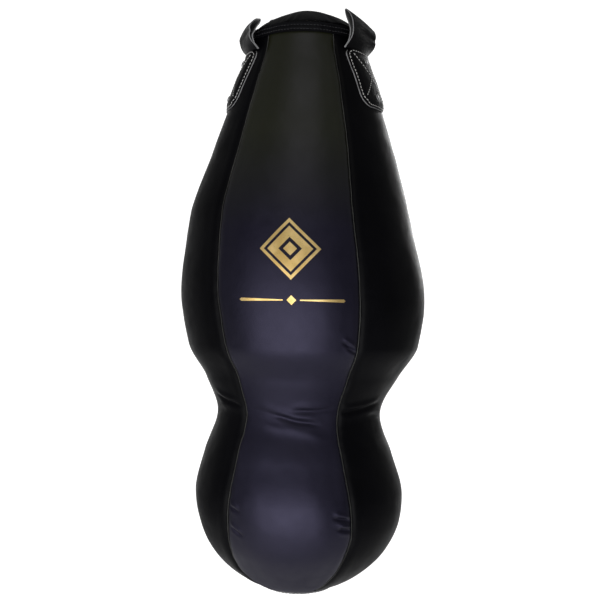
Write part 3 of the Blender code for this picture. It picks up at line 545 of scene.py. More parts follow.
# The loops' hole faces: far darker than a leather's flesh side is, painted shade inside the loops.
SHADED_FLESH = fibre("flesh_side_painted_shade", (0.008, 0.008, 0.009), (0.020, 0.020, 0.021), 500.0)
PIPING = leather(
    "piping_leather", (0.030, 0.030, 0.029), (0.075, 0.075, 0.072), 0.60, 0.05, grain=900.0,
)
THREAD = fibre("white_thread", (0.50, 0.50, 0.50), (0.78, 0.78, 0.77), 1500.0)
DARK_THREAD = fibre("dark_thread", (0.010, 0.010, 0.013), (0.026, 0.026, 0.032), 1500.0)
FELT = fibre("padding_felt", (0.10, 0.10, 0.10), (0.22, 0.22, 0.21), 180.0, bump=0.9)
RAGS = fibre(
    "filling_rags", (0.20, 0.16, 0.14), (0.50, 0.45, 0.42), 26.0, bump=1.0, distance=0.004,
)
WEBBING = fibre(
    "black_webbing", (0.012, 0.012, 0.013), (0.030, 0.030, 0.032), 300.0, stretch=(1.0, 1.0, 5.0),
)
TAPE = fibre(
    "zip_tape", (0.010, 0.010, 0.011), (0.026, 0.026, 0.028), 700.0, stretch=(4.0, 1.0, 1.0),
)
STEEL = metal("dark_steel", (0.10, 0.10, 0.11), (0.30, 0.30, 0.31), 0.36)
RIVET = metal("rivet_steel", (0.26, 0.26, 0.27), (0.52, 0.52, 0.53), 0.40)
GOLD = foil("gold_foil")


def finish_piece(obj, slot, *replaced, body="bag"):
    if replaced:
        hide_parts(*replaced)
    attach(obj, body)


# ---- stitches


# length, pitch and half width of each kind of stitch
BASE_STITCH = (0.0060, 0.0078, 0.0006)
PATCH_STITCH = (0.0058, 0.0074, 0.00062)
DARK_STITCH = (0.0050, 0.0066, 0.00055)


def measured(points):
    """Each point's distance from the first, along the line."""
    gaps = np.linalg.norm(np.diff(points, axis=0), axis=1)
    return np.concatenate([[0.0], np.cumsum(gaps)])


def build_stitches(name, paths, material, length, pitch, width):
    """Short arched threads along each path of (points, outward normals)."""
    sides, rings = 6, 5
    share = np.linspace(0, 1, rings)
    fat = width * np.sqrt(np.clip(1 - (2 * share - 1) ** 4, 0.12, 1))
    arch = width * (1.1 * np.sin(pi * share) - 0.45)
    all_points, faces, start = [], [], 0
    for points, normals in paths:
        points, normals = np.asarray(points, float), np.asarray(normals, float)
        along = measured(points)
        count = int(along[-1] / pitch)
        if count < 1:
            continue
        real = along[-1] / count
        places = np.arange(count)[:, None] * real + (real - length) / 2 + share * length
        middle = np.stack([np.interp(places, along, points[:, k]) for k in range(3)], -1)
        up = np.stack([np.interp(places, along, normals[:, k]) for k in range(3)], -1)
        up /= np.linalg.norm(up, axis=-1, keepdims=True)
        all_points.append(rings_along(middle, up, arch, fat, sides).reshape(-1, 3))
        for _ in range(count):
            faces += grid_faces(rings, sides, start, wrap=True)
            faces += end_faces(rings, sides, start)
            start += rings * sides
    threads = make_mesh(name, np.concatenate(all_points), faces, [material], smooth=70)
    finish_piece(threads, "seam_piping")


def with_normals(place, *coordinates, step_out=0.001):
    """(points, normals) of a path on a surface given by a function with a lift."""
    here = place(*coordinates, 0.0)
    there = place(*coordinates, step_out)
    return here, (there - here) / step_out


# ---- body panels and their seams


# where each band of rows ends, and how far apart its rows are
ROW_BANDS = (
    (-0.640, 0.0050), (-0.690, 0.0016), (-0.745, 0.0040),
    (-0.850, 0.0013), (-0.962, 0.0040), (-1.035, 0.0016),
)
BASE_ROWS_APART = 0.0042


def panel_rows():
    """Rows from the rim to the base opening, closer together where the leather creases."""
    bands = [(run_at_height(height), gap) for height, gap in ROW_BANDS]
    bands.append((run_at_base_radius(BASE_OPENING), BASE_ROWS_APART))
    rows, start = [], 0.0
    for end, gap in bands:
        rows.append(np.linspace(start, end, ceil((end - start) / gap), endpoint=False))
        start = end
    return np.concatenate([*rows, [start]])


def build_panels():
    rows = panel_rows()[:, None]
    t = np.linspace(-1, 1, 61)[None, :]
    u = 0.45 * t + 0.55 * np.sin(pi / 2 * t)
    edge = 1 - 0.0016 / (HALF_PANEL * profile(rows)[0])
    for i, name in enumerate(PANEL_NAMES):
        outer = skin(i, rows, u * edge)
        inner = skin(i, rows, u * edge, -LEATHER)
        panel = shell(f"leather_{name}", outer, inner, FRONT if i == 0 else SIDE, SIDE)
        finish_piece(panel, "body_leather", f"panel_{name}")


PIPING_RADIUS = 0.00078
PIPING_LIFT = 0.0012


def on_seam(i, rows, lift):
    """Points on the line where two panels meet."""
    return (skin(i, rows, 1.0, lift) + skin((i + 1) % 5, rows, -1.0, lift)) / 2


def build_piping():
    first = run_at_height(-COLLAR_HEM - 0.0004)
    last = run_at_base_radius(BASE_PATCH_RADIUS + 0.0005)
    rows = panel_rows()
    rows = np.concatenate([[first], rows[(rows > first) & (rows < last)], [last]])
    sides = 8
    for i, name in enumerate(SEAM_NAMES):
        centre, out = with_normals(on_seam, i, rows)
        out /= np.linalg.norm(out, axis=1, keepdims=True)
        radius = PIPING_RADIUS * (1 + 0.12 * lattice(rows * 160.0, i + 0.5, 21))
        rings = rings_along(centre, out, PIPING_LIFT, radius, sides)
        faces = grid_faces(len(rows), sides, wrap=True) + end_faces(len(rows), sides)
        cord = make_mesh(f"piping_{name}", rings, faces, [PIPING])
        finish_piece(cord, "seam_piping", f"seam_piping_{name}")


BASE_STITCHES_IN = 0.0065


def build_base_patch():
    edge = run_at_base_radius(BASE_PATCH_RADIUS)
    rows = np.linspace(edge, LINE_RUN[-1] - 0.0004, 26)[:, None]
    azimuths = full_turn(96)
    wave = 0.0004 * lattice(azimuths * 5.0, rows * 60.0, 31)
    thin = 1 - step(rows, edge, edge + 0.004)
    outer = plain(azimuths, rows, SEAT_GAP + LEATHER - 0.0005 * thin + wave)
    inner = plain(azimuths, rows, SEAT_GAP)
    patch = shell("base_cover", outer, inner, SIDE, RAW, wrap=True)
    finish_piece(patch, "body_leather", "base_patch")
    ring = np.linspace(0, 2 * pi, 361)
    path = with_normals(
        lambda a, lift: plain(a, edge + BASE_STITCHES_IN, SEAT_GAP + LEATHER + lift), ring
    )
    build_stitches("base_stitches", [path], THREAD, *BASE_STITCH)


# ---- collar and lid


COLLAR_ROWS = (0.0262, 0.0345)  # drops of the two stitch rows
LID_STITCHES_IN = 0.0060
LID_STITCHES_REACH = 0.098
# beyond the zip the slit narrows between these distances from its middle, and the halves meet
SLIT_ENDS = (0.0975, 0.1015)


def build_collar():
    azimuths = full_turn(300)
    below, above = 16, 9
    runs = np.concatenate([np.linspace(run_at_height(-COLLAR_HEM), 0.0, below), np.zeros(above)])
    upper = np.linspace(0, STATIONS[0][0] - COLLAR_TOP, above + 1)[1:]
    rise = np.concatenate([np.zeros(below), upper])
    runs, rise = runs[:, None], rise[:, None]
    height = profile(runs)[1] + rise
    wave = 0.0007 * lattice(azimuths * 9.0, height * 40.0, 41)
    wave += 0.0004 * lattice(azimuths * 26.0, height * 25.0, 42)
    rolled = 0.0012 * bell((height + COLLAR_HEM) / 0.0022)
    row = -0.0007 * sum(bell((height + drop) / 0.0011) for drop in COLLAR_ROWS)
    full = 0.0006 * bell((height + 0.0305) / 0.0035)
    closing = 0.0016 * step(height, -0.0215, -COLLAR_TOP)
    lift = SEAT_GAP + LEATHER + wave + rolled + row + full - closing
    outer = plain(azimuths, runs, lift)
    inner = plain(azimuths, runs, SEAT_GAP)
    for grid in (outer, inner):
        grid[..., 2] += rise
    ring = shell("collar_leather", outer, inner, TOP, TOP, wrap=True)
    finish_piece(ring, "body_leather", "collar")
    paths = []
    around = np.linspace(0, 2 * pi, 721)
    for drop in COLLAR_ROWS:
        run = run_at_height(-drop)
        lift = SEAT_GAP + LEATHER - 0.0002
        paths.append(with_normals(lambda a, more, run=run: plain(a, run, lift + more), around))
    build_stitches("collar_stitches", paths, DARK_THREAD, *DARK_STITCH)


def dome(x, y, depth=0.0):
    radius = LID_SPHERE - depth
    z = LID_CROWN - LID_SPHERE + np.sqrt(np.maximum(radius**2 - x**2 - y**2, 0))
    return np.stack([x + 0 * z, y + 0 * z, z], -1)


def lid_relief(x, y):
    r = np.hypot(x, y) / LID_RIM
    azimuth = np.arctan2(x, -y)
    folds = 0.0011 * lattice(azimuth * 13.0, r * 1.5, 51) + 0.0006 * lattice(azimuth * 29.0, r, 52)
    sag = -0.0012 * bell((r - 0.60) / 0.25)
    lip = 0.0010 * bell((np.abs(y) - ZIP_OPENING / 2 - 0.0025) / 0.0030)
    row = -0.0006 * bell((np.abs(y) - ZIP_OPENING / 2 - LID_STITCHES_IN) / 0.0012)
    soft = 0.0007 * lattice(x * 40.0, y * 40.0, 53)
    sunk = sag - 0.0020 * bell((x + 0.055) / 0.035)
    return folds * step(r, 0.45, 1.0) + sunk * step(np.abs(y), 0.012, 0.03) + lip + row + soft - 0.0020


def build_lid():
    s = np.linspace(-1, 1, 121)[None, :]
    reach = sqrt(LID_RIM**2 - (ZIP_OPENING / 2) ** 2) * 0.9995
    x = reach * np.sin(s * pi / 2)
    for name, side in (("front", -1), ("rear", 1)):
        t = np.linspace(0, 1, 34)[:, None]
        rim = np.sqrt(LID_RIM**2 - x**2)
        slit = ZIP_OPENING / 2 * (1 - step(np.abs(x), *SLIT_ENDS)) + 0.0002
        y = side * (slit + t * (rim - slit))
        lift = lid_relief(x + 0 * y, y)
        outer, inner = dome(x + 0 * y, y, -lift), dome(x + 0 * y, y, LEATHER - lift * 0.5)
        flap = shell(f"lid_leather_{name}", outer[::side], inner[::side], TOP, TOP)
        finish_piece(flap, "body_leather", f"lid_{name}")
    paths = []
    across = np.linspace(-LID_STITCHES_REACH, LID_STITCHES_REACH, 400)
    for side in (-1, 1):
        y = side * (ZIP_OPENING / 2 + LID_STITCHES_IN)
        lift = lid_relief(across, y + 0 * across)
        here = dome(across, y + 0 * across, -lift)
        normal = here - np.array([0, 0, LID_CROWN - LID_SPHERE])
        paths.append((here, normal / np.linalg.norm(normal, axis=1, keepdims=True)))
    build_stitches("lid_stitches", paths, DARK_THREAD, *DARK_STITCH)


def build_tapes():
    half = ZIP_LENGTH / 2 / LID_SPHERE
    radius = LID_SPHERE - TAPE_DEPTH
    rows, columns = 120, 12
    turns = np.linspace(-half, half, rows)[:, None]
    for name, side in (("front", -1), ("rear", 1)):
        y = side * np.linspace(CHAIN_GAP / 2, CHAIN_GAP / 2 + TAPE_WIDTH, columns)
        ripple = 0.00012 * lattice(turns * 60.0, y * 300.0, 61)
        points = dome(radius * np.sin(turns) + 0 * y, y + 0 * turns, TAPE_DEPTH - ripple)
        tape = make_mesh(f"tape_{name}", points, grid_faces(rows, columns, flip=side > 0), [TAPE])
        finish_piece(tape, "zip_tape", f"zip_tape_{name}")


# ---- straps


ROOT_RUN = run_at_height(-LOOP_ROOT)
STRAP_TOP = ROOT_RUN + PLY + PATCH_BELOW_ROOT


def on_strap(azimuth, down, across, lift):
    """Points at a strap, this far below the patch's top edge and aside of its middle line."""
    run = STRAP_TOP + np.asarray(down, float)
    radius = profile(run)[0] + lift
    return plain(azimuth + np.asarray(across, float) / radius, run, lift)


TAIL_TOP = SEAT_GAP + 2 * PLY + CLEARANCE
RIVET_DENT, RIVET_DENT_RADIUS = 0.0008, 0.0105
# the white stitches: how far inside the patch's edge, and the cross's top, bottom and half width
BORDER_IN = 0.0046
CROSS_TOP, CROSS_BOTTOM, CROSS_HALF = 0.011, 0.104, 0.043


def half_width(down):
    """Half the patch's width at these distances below its top edge."""
    half = np.full(np.shape(down), PATCH_WIDTH / 2)
    for corner, left in ((PATCH_TOP_CORNER, down), (PATCH_BOTTOM_CORNER, PATCH_LENGTH - down)):
        inside = np.clip(corner - left, 0, corner)
        half -= corner - np.sqrt(corner**2 - inside**2)
    return half


def patch_rise(down, across):
    """The patch swells over the strap's tail and comes down to the panel at its edges."""
    aside = step(np.abs(across), TAIL_WIDTH / 2, half_width(down) + 1e-6)
    below = step(down, TAIL_LENGTH, PATCH_LENGTH)
    flat = np.maximum(aside, below)
    rise = TAIL_TOP * (1 - flat) + SEAT_GAP * flat
    for at in RIVET_DOWN:
        rise -= RIVET_DENT * bell(np.hypot(down - at, across) / RIVET_DENT_RADIUS)
    return rise + 0.00035 * lattice(down * 70.0, across * 70.0, 71)


def patch_outline(inset, count=400):
    """Closed path of (down, across) inside the patch's edge by the inset."""
    top, bottom, half = PATCH_TOP_CORNER, PATCH_BOTTOM_CORNER, PATCH_WIDTH / 2
    corners = (
        (top, top - half, top, -pi / 2),
        (top, half - top, top, pi),
        (PATCH_LENGTH - bottom, half - bottom, bottom, pi / 2),
        (PATCH_LENGTH - bottom, bottom - half, bottom, 0.0),
    )
    arcs = []
    for down, across, radius, first in corners:
        turns = first - np.linspace(0, pi / 2, 13)
        inner = radius - inset
        arcs.append(np.stack([down + inner * np.cos(turns), across + inner * np.sin(turns)], -1))
    path = np.concatenate([*arcs, arcs[0][:1]])
    along = measured(path)
    places = np.linspace(0, along[-1], count)
    return np.stack([np.interp(places, along, path[:, k]) for k in range(2)])


def patch_rows():
    """Distances below the patch's top edge, closer together where its corners round off."""
    top = PATCH_TOP_CORNER * (1 - np.cos(np.linspace(0, pi / 2, 9)))
    middle = np.linspace(PATCH_TOP_CORNER, PATCH_LENGTH - PATCH_BOTTOM_CORNER, 24)[1:]
    bottom = PATCH_BOTTOM_CORNER * (1 - np.sin(np.linspace(0, pi / 2, 13)))[1:]
    rows = np.concatenate([top, middle, PATCH_LENGTH - bottom])
    return np.clip(rows, 0.0, PATCH_LENGTH)[:, None]


def build_patches():
    down = patch_rows()
    s = np.linspace(-1, 1, 45)
    across = half_width(down) * (0.75 * s + 0.25 * np.sin(pi / 2 * s))
    rise = patch_rise(down, across)
    to_edge = np.minimum(half_width(down) - np.abs(across), down)
    top = rise + LEATHER - 0.0005 * bell(to_edge / 0.0018)
    for i in STRAP_PANELS:
        name, azimuth = PANEL_NAMES[i], i * 2 * HALF_PANEL
        outer = on_strap(azimuth, down, across, top)
        inner = on_strap(azimuth, down, across, SEAT_GAP)
        patch = shell(f"patch_{name}", outer[::-1], inner[::-1], STRAP, RAW)
        finish_piece(patch, "strap_leather", f"strap_patch_{name}")
        build_patch_stitches(name, azimuth)


def build_patch_stitches(name, azimuth):
    def surface(down, across, lift):
        return on_strap(azimuth, down, across, patch_rise(down, across) + LEATHER + lift)

    paths = [with_normals(surface, *patch_outline(BORDER_IN))]
    for start in (-CROSS_HALF, CROSS_HALF):
        down, across = np.linspace(CROSS_TOP, CROSS_BOTTOM, 200), np.linspace(start, -start, 200)
        paths.append(with_normals(surface, down, across))
    build_stitches(f"patch_stitches_{name}", paths, THREAD, *PATCH_STITCH)


def build_tails():
    down = np.linspace(0, TAIL_LENGTH, 26)[:, None]
    across = np.linspace(-TAIL_WIDTH / 2, TAIL_WIDTH / 2, 25)
    for i in STRAP_PANELS:
        name, azimuth = PANEL_NAMES[i], i * 2 * HALF_PANEL
        wave = 0.0001 * lattice(down * 90.0, across * 90.0, 75)
        outer = on_strap(azimuth, down, across, SEAT_GAP + 2 * PLY - 0.0002 + wave)
        inner = on_strap(azimuth, down, across, SEAT_GAP)
        tail = shell(f"tail_{name}", outer[::-1], inner[::-1], STRAP, RAW)
        finish_piece(tail, "strap_leather", f"strap_tail_{name}")


LOOP_RADIUS = float(profile(ROOT_RUN)[0]) + 2 * SEAT_GAP + PLY
LOOP_HEIGHT = -float(profile(ROOT_RUN)[1])
LOOP_PINCH = 0.5  # how much of the gap between its plies closes halfway up
# how far each loop bellies out, and how its top corners lie, (outwards, upwards) each
LOOP_SHAPES = {
    "right": (-0.0013, (-0.010, 0.010), (-0.003, -0.0056)),
    "left": (-0.0013, (0.006, -0.008), (-0.009, -0.006)),
    "rear_right": (0.001, (-0.003, 0.002), (-0.008, -0.004)),
    "rear_left": (0.0, (-0.005, -0.004), (-0.002, 0.003)),
}


def loop_middle(share):
    """How far the middle of the loop's two plies stands out, at shares of its height."""
    return 4 * LOOP_STAND_OFF * share * (1 - share) + LOOP_LEAN * share * (2 * share - 1)


def loop_half_gap(share):
    closing = np.clip((share - LOOP_FOLD) / (1 - LOOP_FOLD), 0, 1)
    opening = np.clip((share - LOOP_SPLIT) / (LOOP_FOLD - LOOP_SPLIT), 0, 1)
    fold = (LOOP_SEAT + (LOOP_GAP - LOOP_SEAT) * np.sqrt(1 - closing**2)) / 2
    return np.where(share > LOOP_FOLD, fold, LOOP_GAP / 2 * np.sin(pi / 2 * opening))


def loop_outlines():
    """(out, up) pairs round a loop's outer face and round its hole, and how many make its foot."""
    fold = LOOP_FOLD + (1 - LOOP_FOLD) * np.sin(np.linspace(0, pi / 2, 10))[1:]
    levels = np.concatenate([np.linspace(LOOP_SPLIT, LOOP_FOLD, 26), fold])
    closing = np.clip((levels - LOOP_FOLD) / (1 - LOOP_FOLD), 0, 1) * pi / 2
    up, middle, half = levels * LOOP_HEIGHT, loop_middle(levels), loop_half_gap(levels)
    outside, hole = {}, {}
    for side in (-1, 1):
        thick = half + PLY * np.cos(closing)
        outside[side] = np.stack([middle + side * thick, up + PLY * np.sin(closing)], -1)
        hole[side] = np.stack([middle + side * half, up], -1)
    turns = np.linspace(0, pi, 9)
    foot = np.stack([PLY * np.cos(turns), -PLY * np.sin(turns)], -1)
    outline_points = np.concatenate([foot, outside[-1], outside[1][::-1]])
    return outline_points, np.concatenate([hole[-1], hole[1][::-1]]), len(foot)


def bend_loop(section, across, i):
    """Points of a section swept over the loop's width, with its own lean, dent and slack."""
    belly, (out_a, up_a), (out_b, up_b) = LOOP_SHAPES[PANEL_NAMES[i]]
    out, rise = section[:, 0], section[:, 1]
    x = across[:, None]
    curve = np.maximum(0.0, 1 - np.maximum(rise, 0) / (LOOP_FLAT * LOOP_HEIGHT)) ** 2
    angle = x / LOOP_RADIUS
    depth = LOOP_RADIUS + out - curve * LOOP_RADIUS * (1 - np.cos(angle))
    aside = curve * LOOP_RADIUS * np.sin(angle) + (1 - curve) * x
    share = np.clip(rise / LOOP_HEIGHT, 0, 1)
    end = x / LOOP_WIDTH + 0.5
    leaning = (out_a * (1 - end) + out_b * end) * share**1.6
    raising = (up_a * (1 - end) + up_b * end) * share**1.3
    wave = 0.0010 * lattice(x * 28.0 + i * 7.7, share * 3.0, 81) * share
    bow = 0.0018 * np.cos(pi * (end - 0.5)) * share**2
    slack = belly * 4 * share * (1 - share)
    dent = -0.0018 * bell((share - 0.58) / 0.07) * (1 - bell((end - 0.1) / 0.3))
    from_middle = out - loop_middle(share)
    gathered = 0.55 * share**3 * (1 - end) ** 2 * from_middle
    pinch = LOOP_PINCH * bell((share - 0.45) / 0.25) * loop_half_gap(share) * np.sign(from_middle)
    depth = depth + leaning + wave + slack + dent - gathered - pinch
    height = rise - LOOP_HEIGHT + raising + bow
    c, s = cos(i * 2 * HALF_PANEL), sin(i * 2 * HALF_PANEL)
    return np.stack([c * aside + s * depth, s * aside - c * depth, height], -1)


def loop_side(foot, count, a, b):
    """Faces of a loop's cut side, between the rings that start at a outside and at b inside."""
    last, hole_last = a + foot + 2 * count - 1, b + 2 * count - 1
    faces = []
    for k in range(count - 1):
        faces.append((a + foot + k, a + foot + k + 1, b + k + 1, b + k))
        faces.append((last - k - 1, last - k, hole_last - k, hole_last - k - 1))
    top = a + foot + count
    faces.append((top - 1, top, b + count, b + count - 1))
    fan = [last, *range(a, a + foot + 1)]
    faces += [(p, q, b) for p, q in zip(fan, fan[1:])]
    faces.append((last, b, hole_last))
    return faces


def build_loops():
    outside, hole, foot = loop_outlines()
    columns = 27
    across = np.linspace(-LOOP_WIDTH / 2, LOOP_WIDTH / 2, columns)
    first = columns * len(outside)
    skin_faces = grid_faces(columns, len(outside), 0, wrap=True, flip=True)
    hole_faces = grid_faces(columns, len(hole), first, wrap=True)
    side_faces = []
    for end, flip in ((0, False), (columns - 1, True)):
        side = loop_side(foot, len(hole) // 2, end * len(outside), first + end * len(hole))
        side_faces += [face[::-1] if flip else face for face in side]
    faces = skin_faces + hole_faces + side_faces
    index = [0] * len(skin_faces) + [1] * len(hole_faces) + [2] * len(side_faces)
    for i in STRAP_PANELS:
        name = PANEL_NAMES[i]
        points = [bend_loop(section, across, i).reshape(-1, 3) for section in (outside, hole)]
        # the hole faces take the flesh side darkened into painted shade
        loop = make_mesh(f"loop_{name}", np.concatenate(points), faces, [STRAP, SHADED_FLESH, RAW], index)
        finish_piece(loop, "strap_leather", f"strap_loop_{name}", body=f"loop_{name}")


# a rivet's head and shank, and the head's outline in shares of its radius and crown
HEAD_RADIUS, HEAD_CROWN, HEAD_SUNK = 0.0065, 0.0024, 0.0004
SHANK_RADIUS, FOOT_RADIUS, FOOT_RIM, FOOT_HEIGHT = 0.0018, 0.0020, 0.0028, 0.0010
HEAD_OUTLINE = (
    (1.0, 0.0), (1.0, 0.14), (0.97, 0.30), (0.86, 0.56), (0.66, 0.80), (0.40, 0.95), (0.16, 1.0),
)


def rivet_outline():
    """(radius, height over the panel) pairs from the rivet's foot inside the bag to its crown."""
    seat = TAIL_TOP + LEATHER + CLEARANCE - HEAD_SUNK
    inside = -2 * LEATHER - 3 * CLEARANCE - SEAT_GAP - 0.0010
    points = [(0.0001, inside - FOOT_HEIGHT), (FOOT_RADIUS, inside - FOOT_HEIGHT)]
    points += [(FOOT_RIM, inside), (SHANK_RADIUS, inside), (SHANK_RADIUS, seat)]
    points += [(HEAD_RADIUS * r, seat + HEAD_CROWN * h) for r, h in HEAD_OUTLINE]
    return [*points, (0.0001, seat + HEAD_CROWN)]


def build_rivets():
    sides = 28
    turns = full_turn(sides)
    points = rivet_outline()
    faces = grid_faces(len(points), sides, wrap=True) + end_faces(len(points), sides)
    for i in STRAP_PANELS:
        azimuth = i * 2 * HALF_PANEL
        aside = np.array([cos(azimuth), sin(azimuth), 0.0])
        for row, down in zip(("upper", "lower"), RIVET_DOWN):
            here, out = with_normals(on_strap, azimuth, down, 0.0)
            out /= np.linalg.norm(out)
            spokes = np.outer(np.cos(turns), aside) + np.outer(np.sin(turns), np.cross(out, aside))
            spokes *= 1 + 0.015 * lattice(turns * 2.0, i + down * 100, 91)[:, None]
            rings = np.array([here + out * rise + spokes * radius for radius, rise in points])
            name = f"{PANEL_NAMES[i]}_{row}"
            head = make_mesh(f"head_{name}", rings, faces, [RIVET], smooth=35)
            finish_piece(head, "dark_steel", f"rivet_{name}")


# ---- inside


INSIDE_COLUMNS = 80
# the neck's band: its first and last run down the outline, and how far in it starts
BAND_ROWS, BAND_IN = (0.001, 0.160), 0.0010
# runs between which the felt moves in, past the band's end
BAND_ENDS = (0.164, 0.186)
# inwards of the leather's inner face: the felt at the neck's band and below it
FELT_AT_BAND, FELT_BELOW_BAND = 0.0074, 0.0091
# inwards of its outer face: the felt's inner face and the rags
FELT_INNER, RAGS_OUTER = 0.0236, 0.0265
RAGS_CROWN = 0.0205  # height


def inside_rows():
    return np.linspace(0.008, LINE_RUN[-1] - 0.002, 90)[:, None]


def build_felt():
    azimuths, rows = full_turn(INSIDE_COLUMNS), inside_rows()
    below = step(rows, *BAND_ENDS)
    lumps = 0.0012 * np.abs(lattice(azimuths * 8, rows * 60, 95))
    inwards = FELT_AT_BAND * (1 - below) + FELT_BELOW_BAND * below + lumps
    outer = plain(azimuths, rows, -CLEARANCE - LEATHER - inwards)
    inner = plain(azimuths, rows, -FELT_INNER + 0.0006 * lattice(azimuths * 9, rows * 50, 96))
    layer = shell("felt_layer", outer, inner, FELT, FELT, wrap=True)
    finish_piece(layer, "padding_felt", "padding_layer")


def build_rags():
    azimuths, rows = full_turn(INSIDE_COLUMNS), inside_rows()
    body = plain(azimuths, rows, -RAGS_OUTER - 0.0015 * lattice(azimuths * 6, rows * 30, 97))
    top = body[0]
    crown = []
    for share in np.linspace(0, 1, 10)[1:]:
        ring = top * (1 - 0.97 * share, 1 - 0.97 * share, 1.0)
        ring[:, 2] += (RAGS_CROWN - top[:, 2]) * sin(pi / 2 * share)
        crown.append(ring)
    rings = np.concatenate([np.array(crown)[::-1], body])
    size = len(rings), INSIDE_COLUMNS
    faces = grid_faces(*size, wrap=True) + end_faces(*size)
    rags = make_mesh("rag_filling", rings, faces, [RAGS])
    finish_piece(rags, "filling_textile", "filling")


def build_band():
    azimuths, rows = full_turn(INSIDE_COLUMNS), np.linspace(*BAND_ROWS, 26)[:, None]
    weave = 0.00005 * lattice(azimuths * 60, rows * 700, 98)
    outer = plain(azimuths, rows, weave - LEATHER - CLEARANCE - BAND_IN)
    inner = plain(azimuths, rows, weave - 2 * LEATHER - CLEARANCE)
    band = shell("band_webbing", outer, inner, WEBBING, WEBBING, wrap=True)
    finish_piece(band, "neck_webbing", "neck_band")


# ---- gold motif: plain lozenges over a plain bar


MOTIF_TURN, MOTIF_HEIGHT, MOTIF_LIFT = radians(3.0), -0.478, 0.00022
# half widths of the lozenges and of their openings, nested round the motif's middle
LOZENGES = ((0.058, 0.050), (0.043, 0.022), (0.013, None))
# the bar: how far below the middle, its right half's outline, and the lozenge in its gap
BAR_AT, BAR_LOZENGE = -0.0955, 0.009
BAR = ((0.016, 0.001), (0.099, 0.003), (0.103, 0.0), (0.099, -0.003), (0.016, -0.001))


def lozenge(y, half):
    return [(-half, y), (0, y - half), (half, y), (0, y + half)]


def motif_shapes():
    """Closed outlines of (across, up) pairs about the motif's middle, each with its opening."""
    shapes = [(lozenge(0, half), lozenge(0, hole) if hole else None) for half, hole in LOZENGES]
    for side in (-1, 1):
        bar = [(side * x, BAR_AT + y) for x, y in BAR]
        shapes.append((bar[::-side], None))
    shapes.append((lozenge(BAR_AT, BAR_LOZENGE), None))
    return shapes


def on_front(x, y):
    """Points just over the front leather, this far across and up from the motif's middle."""
    run = np.interp(-(MOTIF_HEIGHT + y), -LINE[:, 1], LINE_RUN)
    radius, height = profile(run)[:2]
    left, right = seam_azimuth(-1, height), seam_azimuth(0, height)
    u = (MOTIF_TURN + x / radius - (left + right) / 2) / ((right - left) / 2)
    return skin(0, run, u, MOTIF_LIFT)


def subdivided(corners, parts=24):
    """The closed outline with each of its sides in equal parts."""
    corners = np.array(corners, float)
    sides = np.roll(corners, -1, axis=0) - corners
    shares = np.linspace(0, 1, parts, endpoint=False)
    return (corners[:, None] + sides[:, None] * shares[:, None]).reshape(-1, 2)


def build_motif():
    rows = 9
    points, faces, start = [], [], 0
    for outside, opening in motif_shapes():
        outer = subdivided(outside)
        middle = outer.mean(0)
        inner = subdivided(opening) if opening else middle + (outer - middle) * 0.02
        grid = np.array([outer + (inner - outer) * share for share in np.linspace(0, 1, rows)])
        points.append(on_front(grid[..., 0], grid[..., 1]).reshape(-1, 3))
        faces += grid_faces(rows, len(outer), start, wrap=True)
        if not opening:
            faces.append(end_faces(rows, len(outer), start)[1])
        start += rows * len(outer)
    motif = make_mesh("gold_motif", np.concatenate(points), faces, [GOLD])
    finish_piece(motif, "body_leather")


# ---- camera, light and floor


def build_camera():
    data = bpy.data.cameras.new("camera")
    data.sensor_width = 36.0
    data.lens = 36.0 * FOCAL_SHARE
    camera = add_object("camera", data)
    at = Matrix.Rotation(CAMERA_TURN, 4, "Z") @ Vector((0.0, -CAMERA_DISTANCE, CAMERA_HEIGHT))
    look = Matrix.Rotation(CAMERA_TURN + CAMERA_PAN, 4, "Z") @ Matrix.Rotation(pi / 2, 4, "X")
    camera.matrix_world = Matrix.Translation(at) @ look @ Matrix.Rotation(CAMERA_ROLL, 4, "Z")
    scene.camera = camera


def lamp(name, at, aim, size, power, colour=(1.0, 1.0, 1.0)):
    data = bpy.data.lights.new(name, "AREA")
    data.shape = "RECTANGLE"
    data.size, data.size_y = size
    data.energy = power
    data.color = colour
    obj = add_object(name, data)
    obj.location = at
    obj.visible_camera = False
    obj.rotation_euler = (Vector(aim) - Vector(at)).to_track_quat("-Z", "Y").to_euler()


def pale_where_seen(tree):
    """1 for rays from the camera and for those that metal and gloss send back."""
    path = node(tree, "LightPath")
    seen = maths(tree, "MAXIMUM", path.outputs["Is Camera Ray"], path.outputs["Is Glossy Ray"])
    return maths(tree, "MAXIMUM", seen, path.outputs["Is Transmission Ray"])


def pale_paint(name, glow):
    """Floor and backdrop: matt and pale, and lighter still where the camera or gloss sees them."""
    paint, tree, shader, _ = base_material(name, 0.9, level=0.1)
    shader.inputs["Base Color"].default_value = (0.80, 0.80, 0.80, 1.0)
    glow = node(tree, "Emission", Color=(1.0, 1.0, 1.0, 1.0), Strength=glow)
    both = node(tree, "AddShader")
    mix = node(tree, "MixShader")
    link(pale_where_seen(tree), mix.inputs[0])
    link(shader.outputs[0], mix.inputs[1])
    link(shader.outputs[0], both.inputs[0])
    link(glow.outputs[0], both.inputs[1])
    link(both.outputs[0], mix.inputs[2])
    link(mix.outputs[0], tree.nodes["Material Output"].inputs[0])
    return paint


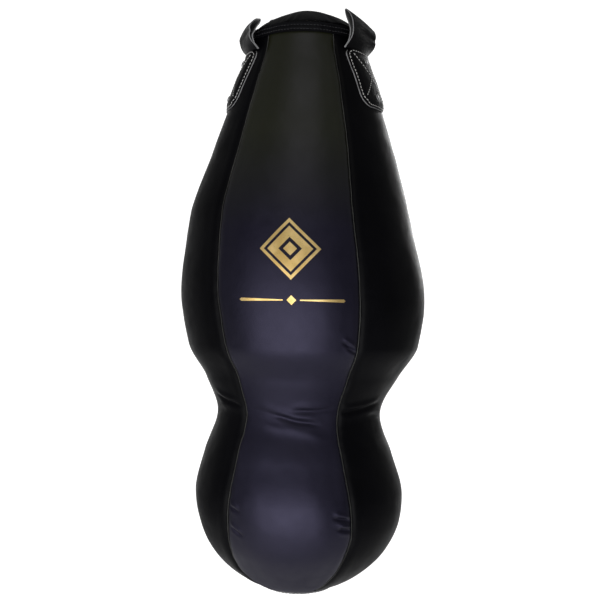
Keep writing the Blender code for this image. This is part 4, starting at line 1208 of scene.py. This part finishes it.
ROOM_LIGHT, FLOOR_GLOW, WALL_GLOW = 0.22, 0.22, 0.9
FLOOR_REACH, FLOOR_LEVEL = 3.2, -2.4
WALL_LEFT, WALL_RIGHT, WALL_TOP = -2.4, 1.75, 1.6


def build_world():
    world = bpy.data.worlds.new("studio")
    scene.world = world
    world.use_nodes = True
    room = {"Color": (1.0, 1.0, 1.0, 1.0), "Strength": ROOM_LIGHT}
    set_up(world.node_tree.nodes["Background"], room)
    scene.view_settings.view_transform = "Standard"


def build_backdrop():
    reach = FLOOR_REACH
    corners = ((-reach, -reach), (reach, -reach), (reach, reach), (-reach, reach))
    floor = [(x, y, FLOOR_LEVEL) for x, y in corners]
    wall = [(x, reach, FLOOR_LEVEL) for x in (WALL_LEFT, WALL_RIGHT)]
    wall += [(x, reach, WALL_TOP) for x in (WALL_RIGHT, WALL_LEFT)]
    face = [(0, 1, 2, 3)]
    make_mesh("studio_floor", floor, face, [pale_paint("pale_floor", FLOOR_GLOW)])
    make_mesh("studio_wall", wall, face, [pale_paint("pale_wall", WALL_GLOW)])


def build_lamps():
    """Each lamp with its place, what it points at, its size in metres and its watts."""
    lamp("key", (-0.30, -2.5, -0.95), (0, 0, -0.75), (3.8, 1.9), 43)
    lamp("high", (0.20, -1.9, 1.7), (0, 0, -0.4), (1.8, 1.4), 7, (1.0, 1.0, 0.8))
    lamp("low", (-0.15, -1.7, -1.75), (0, 0, -1.0), (2.2, 1.0), 14)
    lamp("rear", (0.50, 2.9, 0.30), (0, 0, -0.6), (1.6, 1.6), 42)
    lamp("left_rear", (-2.1, 1.5, -0.60), (0, 0, -0.7), (1.4, 1.8), 1.5)


for name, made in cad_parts.items():
    finish = STEEL if name.startswith(("zip_teeth", "zip_stop", "zip_slider", "zip_pull")) else RIVET
    for slot in made.material_slots:
        slot.material = finish

build_camera()
build_panels()
build_piping()
build_base_patch()
build_collar()
build_lid()
build_tapes()
build_tails()
build_patches()
build_loops()
build_rivets()
build_felt()
build_rags()
build_band()
build_motif()
build_world()
build_backdrop()
build_lamps()
